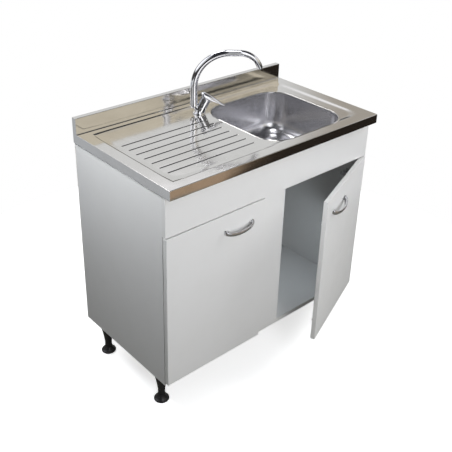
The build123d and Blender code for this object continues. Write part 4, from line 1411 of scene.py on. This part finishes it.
@dataclass
class BowHandle:
    """A cast bow handle: one arched bar that ends in two broad feet on the door."""

    finish: Material
    node: str
    body: str
    foot: Place
    turn: float = 0.0
    half_length: float = 0.061
    projection: float = 0.024
    drop: float = 0.012
    half_width: float = 0.0078
    half_thickness: float = 0.0036
    foot_swell: float = 0.18
    fullness: float = 0.95
    nudge: float = 0.01
    squareness: float = 2.4
    stations: int = 56
    around: int = 28

    def build(self) -> None:
        """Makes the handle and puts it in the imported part's place."""
        turn = radians(self.turn)
        along = Vector((cos(turn), sin(turn), 0.0))
        outward = Vector((sin(turn), -cos(turn), 0.0))
        bow = (outward * self.projection - Vector((0.0, 0.0, self.drop))).normalized()
        rise = hypot(self.projection, self.drop) - self.half_thickness
        broad = along.cross(bow)
        foot = Vector(self.foot)
        points = []
        for station in range(self.stations + 1):
            angle = pi * station / self.stations
            middle, heading = self._path(angle, rise)
            thick = (bow * heading[0] - along * heading[1]).normalized()
            swell = 1.0 + self.foot_swell * (1.0 - sin(angle)) ** 2
            centre = foot + along * middle[0] + bow * middle[1]
            for step in range(self.around):
                phase = 2.0 * pi * step / self.around
                wide = squared(cos(phase), self.squareness) * self.half_width * swell
                deep = squared(sin(phase), self.squareness) * self.half_thickness * swell
                point = centre + broad * wide + thick * deep
                inside = min((point - foot).dot(outward), 0.0)
                points.append(point - outward * inside)
        faces = MeshKit.quads(self.stations + 1, self.around, closed=True)
        last = self.stations * self.around
        faces += [list(range(self.around)), list(range(last, last + self.around))]
        name = f"{self.node}_bow"
        made = MeshKit.piece(name, points, faces, self.finish, self.body, "chrome", 50.0)
        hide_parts(self.node)

    def _path(self, angle: float, rise: float) -> tuple[Flat, Flat]:
        """A point of the bow's middle line and its direction there.

        Args:
            angle: 0 at one foot, pi at the other.
            rise: How far the bow stands off at its middle.

        Returns:
            The place along and off the door, and the direction with the same two parts.
        """
        reach = self.half_length - self.half_thickness
        spots = []
        for shifted in (angle, angle + self.nudge, angle - self.nudge):
            height = max(sin(min(max(shifted, 0.0), pi)), 0.0) ** self.fullness
            spots.append((-cos(shifted) * reach, height * rise))
        here, after, before = spots
        run, climb = after[0] - before[0], after[1] - before[1]
        length = hypot(run, climb) or 1.0
        return here, (run / length, climb / length)


# ------------------------------------------------------------------ studio
@dataclass(frozen=True)
class ReflectorCard:
    """A large glowing or dark card that only polished metal sees.

    It is a patch of a sphere round the unit, given by its directions in degrees.
    """

    name: str
    turn: Flat
    rise: Flat
    colour: Colour
    side_softness: float
    level_softness: float
    distance: float
    across: int = 72
    up: int = 24

    def build(self, middle: Vector) -> None:
        """Makes the card round a point and keeps it from all but glossy rays.

        Args:
            middle: The point.
        """
        points, spread = [], []
        (left, right), (low, high) = self.turn, self.rise
        for row in range(self.up + 1):
            rise = radians(low + (high - low) * row / self.up)
            flat = cos(rise)
            for column in range(self.across + 1):
                turn = radians(left + (right - left) * column / self.across)
                aim = Vector((cos(turn) * flat, sin(turn) * flat, sin(rise)))
                points.append(middle + aim * self.distance)
                spread.append((column / self.across, row / self.up))
        made = MeshKit.raw(self.name, points, MeshKit.quads(self.up + 1, self.across + 1))
        layer = made.data.uv_layers.new(name="spread")
        for loop in made.data.loops:
            layer.data[loop.index].uv = spread[loop.vertex_index]
        made.data.materials.append(self._finish())
        made.visible_camera = made.visible_diffuse = False
        made.visible_shadow = made.visible_transmission = False

    def _finish(self) -> Material:
        """A plain colour that fades out at the card's borders.

        Returns:
            The material.
        """
        material = bpy.data.materials.new(self.name)
        material.use_nodes = True
        w = Wiring(material.node_tree)
        spread = w.split(w.add("ShaderNodeTexCoord").outputs["UV"])
        fade: Feed = 1.0
        for index, softness in enumerate((self.side_softness, self.level_softness)):
            if softness > 0.0:
                inward = w.maths("ABSOLUTE", w.maths("SUBTRACT", spread[index], 0.5))
                fade = w.times(fade, w.ramp(w.maths("SUBTRACT", 0.5, inward), 0.0, softness))
        glow = w.add("ShaderNodeEmission", {"Color": self.colour, "Strength": 1.0}).outputs[0]
        clear = w.add("ShaderNodeBsdfTransparent").outputs[0]
        w.surface(w.add("ShaderNodeMixShader", {0: fade, 1: clear, 2: glow}).outputs[0])
        return material


@dataclass(frozen=True)
class SoftBox:
    """A square area lamp that neither the camera nor metal sees."""

    name: str
    place: Place
    size: float
    power: float
    colour: Colour
    target: Place

    def build(self) -> None:
        """Hangs the lamp and aims it."""
        data = bpy.data.lights.new(self.name, "AREA")
        data.shape, data.size = "SQUARE", self.size
        data.energy, data.color = self.power, self.colour
        lamp = bpy.data.objects.new(self.name, data)
        bpy.context.scene.collection.objects.link(lamp)
        lamp.location = self.place
        lamp.rotation_mode = "QUATERNION"
        aim = Vector(self.target) - Vector(self.place)
        lamp.rotation_quaternion = aim.to_track_quat("-Z", "Y")
        lamp.visible_camera = lamp.visible_glossy = False


@dataclass(frozen=True)
class PictureCamera:
    """The camera where the picture was taken from."""

    place: Place = (-1.49668082, -1.8773684, 1.77953355)
    right: Place = (0.7487767, -0.66233788, 0.02533743)
    down: Place = (-0.2870206, -0.35846095, -0.88832704)
    ahead: Place = (0.59745512, 0.65788622, -0.45851182)
    sensor: float = 36.0
    lens: float = 57.716
    rise: float = -0.10177
    sees: Flat = (0.05, 50.0)

    def build(self) -> None:
        """Stands the camera up and makes it the scene's."""
        data = bpy.data.cameras.new("camera")
        data.sensor_width, data.lens = self.sensor, self.lens
        data.shift_x, data.shift_y = 0.0, self.rise
        data.clip_start, data.clip_end = self.sees
        camera = bpy.data.objects.new("camera", data)
        bpy.context.scene.collection.objects.link(camera)
        rows = (Vector(self.right), -Vector(self.down), -Vector(self.ahead))
        camera.rotation_mode = "QUATERNION"
        camera.rotation_quaternion = Matrix(rows).transposed().to_quaternion()
        camera.location = self.place
        bpy.context.scene.camera = camera


MIDDLE: Place = (0.0, -0.25, 0.85)
CABINET_FLOOR: Place = (0.24, -0.22, 0.14)
ROUND: Flat = (-180.0, 180.0)

CARD_TABLE = (
    ("horizon", ROUND, (-7.0, 13.0), (0.06, 0.055, 0.05), 0.0, 0.22, 3.5),
    ("beige_wall", (-86.0, -4.0), (8.0, 36.0), (0.76, 0.71, 0.60), 0.08, 0.12, 3.4),
    ("dark_wall", (-52.5, -42.3), (5.0, 21.6), (0.05, 0.05, 0.045), 0.12, 0.08, 3.3),
    ("low_wall", (-43.5, -38.6), (5.0, 20.0), (0.08, 0.075, 0.06), 0.12, 0.08, 3.32),
    ("corner_wall", (-40.0, -18.0), (5.0, 18.6), (0.10, 0.085, 0.06), 0.12, 0.10, 3.34),
    ("dark_ceiling", ROUND, (37.0, 80.0), (0.04, 0.04, 0.045), 0.0, 0.08, 3.6),
    ("lever_box", (-30.0, 12.0), (23.0, 35.0), (0.85, 0.83, 0.95), 0.12, 0.14, 3.28),
    ("zenith_box", ROUND, (82.0, 90.0), (8.5, 8.5, 8.6), 0.0, 0.3, 3.5),
    ("high_box", (62.0, 100.0), (40.0, 66.0), (5.2, 5.2, 5.3), 0.12, 0.12, 3.45),
    ("rear_box", (118.0, 160.0), (12.0, 60.0), (1.5, 1.5, 1.58), 0.12, 0.12, 3.45),
    ("rear_glow", (28.0, 76.0), (29.0, 38.5), (1.0, 1.0, 1.04), 0.2, 0.25, 3.44),
    ("front_box", (-124.0, -96.0), (-2.0, 56.0), (1.8, 1.8, 1.85), 0.12, 0.12, 3.45),
    ("dark_stand", (-168.0, -128.0), (-60.0, 60.0), (0.03, 0.03, 0.035), 0.12, 0.05, 3.25),
    ("dark_floor", (-53.3, 0.0), (-60.0, -6.0), (0.02, 0.016, 0.013), 0.015, 0.05, 3.2),
    ("tan_floor", (-96.0, -36.0), (-60.0, -6.0), (0.40, 0.29, 0.20), 0.06, 0.05, 3.3),
    ("grey_floor", (100.0, 176.0), (-60.0, -6.0), (0.46, 0.48, 0.51), 0.08, 0.05, 3.3),
    ("side_wall", (2.0, 42.0), (11.0, 34.0), (0.42, 0.39, 0.35), 0.27, 0.1, 3.4),
)

LAMP_TABLE = (
    ("side_lamp", (-0.95, -0.15, 1.60), 0.45, 12.5, (0.97, 0.99, 1.0), MIDDLE),
    ("front_lamp", (-0.35, -2.1, 1.45), 0.6, 12.5, (0.97, 0.98, 1.0), MIDDLE),
    ("fill_lamp", (-1.3, -2.4, 1.3), 1.2, 5.0, (0.99, 0.995, 1.0), MIDDLE),
    ("low_lamp", (0.05, -2.3, 0.70), 0.8, 9.5, (1.0, 0.995, 0.98), MIDDLE),
    ("opening_lamp", (0.22, -0.375, 0.42), 0.12, 0.20, (0.86, 0.94, 1.0), CABINET_FLOOR),
    ("right_lamp", (1.9, -1.2, 1.8), 1.0, 24.0, WHITE, MIDDLE),
    ("rear_lamp", (0.0, 2.1, 1.9), 1.2, 34.0, WHITE, MIDDLE),
)


@dataclass
class Studio:
    """Floor, surroundings, lamps and camera."""

    middle: Vector
    floor_radius: float = 1.36
    floor_sides: int = 72
    floor_in_metal: float = 0.06
    floor_glow: float = 0.60
    floor_bounce: Colour = (0.12, 0.11, 0.085)
    sky_light: Colour = (0.08, 0.085, 0.095)
    sky_in_metal: Colour = (0.72, 0.73, 0.74)

    def build(self) -> None:
        """Makes the whole studio."""
        bpy.context.scene.view_settings.view_transform = "Standard"
        self._world()
        self._floor()
        for row in CARD_TABLE:
            ReflectorCard(*row).build(self.middle)
        for row in LAMP_TABLE:
            SoftBox(*row).build()
        PictureCamera().build()

    @staticmethod
    def _seen(w: Wiring) -> tuple[Socket, Socket]:
        """Whether the eye looks here, also through clear parts, and whether metal does.

        Args:
            w: The tree's wiring.

        Returns:
            The sockets with both answers.
        """
        path = w.add("ShaderNodeLightPath").outputs
        seen = w.maths("MAXIMUM", path["Is Camera Ray"], path["Is Transmission Ray"])
        return seen, path["Is Glossy Ray"]

    def _world(self) -> None:
        """Surroundings that are white to the eye, and softer in metal and as a light."""
        world = bpy.data.worlds.new("surroundings")
        bpy.context.scene.world = world
        world.use_nodes = True
        w = Wiring(world.node_tree)
        seen, glossy = self._seen(w)
        colour = w.mix(seen, w.mix(glossy, self.sky_light, self.sky_in_metal), WHITE)
        sky = w.add("ShaderNodeBackground", {"Color": colour, "Strength": 1.0})
        w.surface(sky.outputs[0], "ShaderNodeOutputWorld")

    def _floor(self) -> None:
        """A round pale floor that keeps the unit's shadow."""
        centre, count = (self.middle.x, self.middle.y), self.floor_sides
        rim = [centre] + MeshKit.arc(centre, self.floor_radius, 0.0, 4 * QUARTER, count)
        points = [Vector((*place, 0.0)) for place in rim]
        faces = [(0, side, side % count + 1) for side in range(1, count + 1)]
        floor = MeshKit.raw("studio_floor", points, faces)
        floor.data.materials.append(self._floor_finish())

    def _floor_finish(self) -> Material:
        """White to the eye, a warm grey as a source of bounced light, and dim in metal.

        Returns:
            The material.
        """
        shader = Shader("studio_floor")
        w = shader.wiring
        seen, glossy = self._seen(w)
        seen = w.maths("MAXIMUM", seen, w.times(glossy, self.floor_in_metal))
        mottle = w.ramp(w.noise(shader.place, 60.0, 4.0), 0.2, 0.8, 0.97, 1.0)
        tint = w.add("ShaderNodeCombineColor", {index: mottle for index in range(3)}).outputs[0]
        colour = w.mix(seen, self.floor_bounce, tint)
        shader.set(Base_Color=colour, Roughness=0.9, Specular_IOR_Level=0.1)
        strength = w.times(seen, self.floor_glow)
        glow = w.add("ShaderNodeEmission", {"Color": WHITE, "Strength": strength}).outputs[0]
        both = {0: shader.principled.outputs[0], 1: glow}
        w.surface(w.add("ShaderNodeAddShader", both).outputs[0])
        return shader.material


# ------------------------------------------------------------------ the unit's sub-assemblies
@dataclass
class Work:
    """A sub-assembly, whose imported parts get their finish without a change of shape."""

    effects: Effects

    def wear(self, finish: Finish | Material, *nodes: str) -> Material:
        """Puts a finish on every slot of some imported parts.

        Args:
            finish: The finish, or a material that was made of one before.
            nodes: The parts' names.

        Returns:
            The material that they wear.
        """
        material = finish.build(self.effects) if isinstance(finish, Finish) else finish
        for node in nodes:
            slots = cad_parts[node].data.materials
            slots.clear()
            slots.append(material)
            log.info("%s wears %s", node, material.name)
        return material


@dataclass
class CabinetWork(Work):
    """The boards of the base cabinet: panels, fascia, stile, rail, doors and battens."""

    softening: float = 0.0005
    sharp_edge: float = 50.0
    door_turn: float = -22.0
    door_pivot: Place = (0.4385, -0.4665, 0.0)

    def build(self) -> None:
        """Gives each board its own finish, with the glue line of its edge band."""
        low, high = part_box("rear_rail")
        boards = {
            "side_panel_left": (Axis.X, -0.438),
            "side_panel_right": (Axis.X, 0.438),
            "bottom_panel": (Axis.Z, 0.134),
            "rear_rail": (Axis.Y, (low[1] + high[1]) / 2),
            "front_fascia": (Axis.Y, -0.4645),
            "centre_stile": (Axis.Y, -0.4485),
            "door_left": (Axis.Y, -0.4675),
            "door_right": (Axis.Y, -0.001, radians(self.door_turn), self.door_pivot),
        }
        for node, lie in boards.items():
            self.wear(Melamine(f"melamine_{node}", *lie), node)
            self._soften(node)
        self.wear(ParticleBoard(), "batten_front", "batten_rear", "batten_left", "batten_right")
        self.wear(Hardboard(), "back_panel")

    def _soften(self, node: str) -> None:
        """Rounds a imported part's sharp edges a little, with a modifier.

        Args:
            node: The part's name.
        """
        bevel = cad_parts[node].modifiers.new("edge_rounding", "BEVEL")
        bevel.width, bevel.segments = self.softening, 2
        bevel.limit_method, bevel.angle_limit = "ANGLE", radians(self.sharp_edge)
        bevel.harden_normals = True


@dataclass
class Hardware(Work):
    """Hinges, screws, brackets, bumpers, legs and feet."""

    def build(self) -> None:
        """Dresses every small part."""
        plated = self.wear(PlatedSteel(), "corner_brackets", "bracket_screws", "tap_clamp_plate")
        self.wear(plated, "hinge_plate_screws")
        for kind in ("handle_screws", "hinge_cups", "hinge_pins", "hinge_arms", "hinge_plates"):
            self.wear(plated, f"{kind}_left", f"{kind}_right")
        self.wear(ClearBumper(), "door_bumpers_left", "door_bumpers_right")
        colour, dust = (0.012, 0.012, 0.013), (0.12, 0.115, 0.11)
        black = self.wear(MouldedPlastic("black_moulding", colour, 0.20, dust, 0.03))
        for corner in ("front_left", "front_right", "rear_left", "rear_right"):
            self.wear(black, f"leg_{corner}", f"foot_{corner}")


@dataclass
class SinkWork(Work):
    """The pressed top, its bowl and the waste below it."""

    def build(self) -> None:
        """Builds the steel and dresses the plumbing."""
        satin = self.wear(SatinSteel(), "strainer_basket")
        PressedTop(self.wear(BrightSteel())).build()
        BowlShell(satin).build()
        self.wear(Chrome("chrome_waste", roughness=0.08), "waste_body")
        self.wear(SealRubber(), "waste_gasket", "tap_gasket")
        colour, dust = (0.80, 0.80, 0.775), (0.55, 0.53, 0.48)
        white = self.wear(MouldedPlastic("white_moulding", colour, 0.28, dust), "waste_nut")
        for part in ("inlet_nut", "inlet_tube", "body", "cup", "outlet_nut", "outlet_tube"):
            self.wear(white, f"trap_{part}")
        self.wear(white, "tap_cartridge")


@dataclass
class TapWork(Work):
    """The swan-neck mixer tap."""

    def build(self) -> None:
        """Dresses the tap's parts and builds its lever."""
        chrome = self.wear(Chrome(), "tap_body", "spout", "aerator", "lever_hub")
        self.wear(TurnedBrass(), "tap_stud", "tap_nut")
        CrownedLever(chrome).build()


@dataclass
class HandleWork(Work):
    """The bow handles of both doors."""

    def build(self) -> None:
        """Builds the handles."""
        cast = self.wear(Chrome("chrome_handle", (0.74, 0.74, 0.76), 0.09))
        BowHandle(cast, "handle_left", "door_left", (-0.165, -0.4755, 0.621)).build()
        BowHandle(cast, "handle_right", "door_right", (0.18828, -0.5773, 0.621), 22.0).build()


def main() -> None:
    """Builds the unit and its studio."""
    logging.basicConfig(level=logging.INFO, format="%(name)s: %(message)s")
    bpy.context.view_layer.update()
    effects = Effects()
    for work in (CabinetWork, Hardware, SinkWork, TapWork, HandleWork):
        work(effects).build()
    Studio(Vector(MIDDLE)).build()


if __name__ == "__main__":
    main()
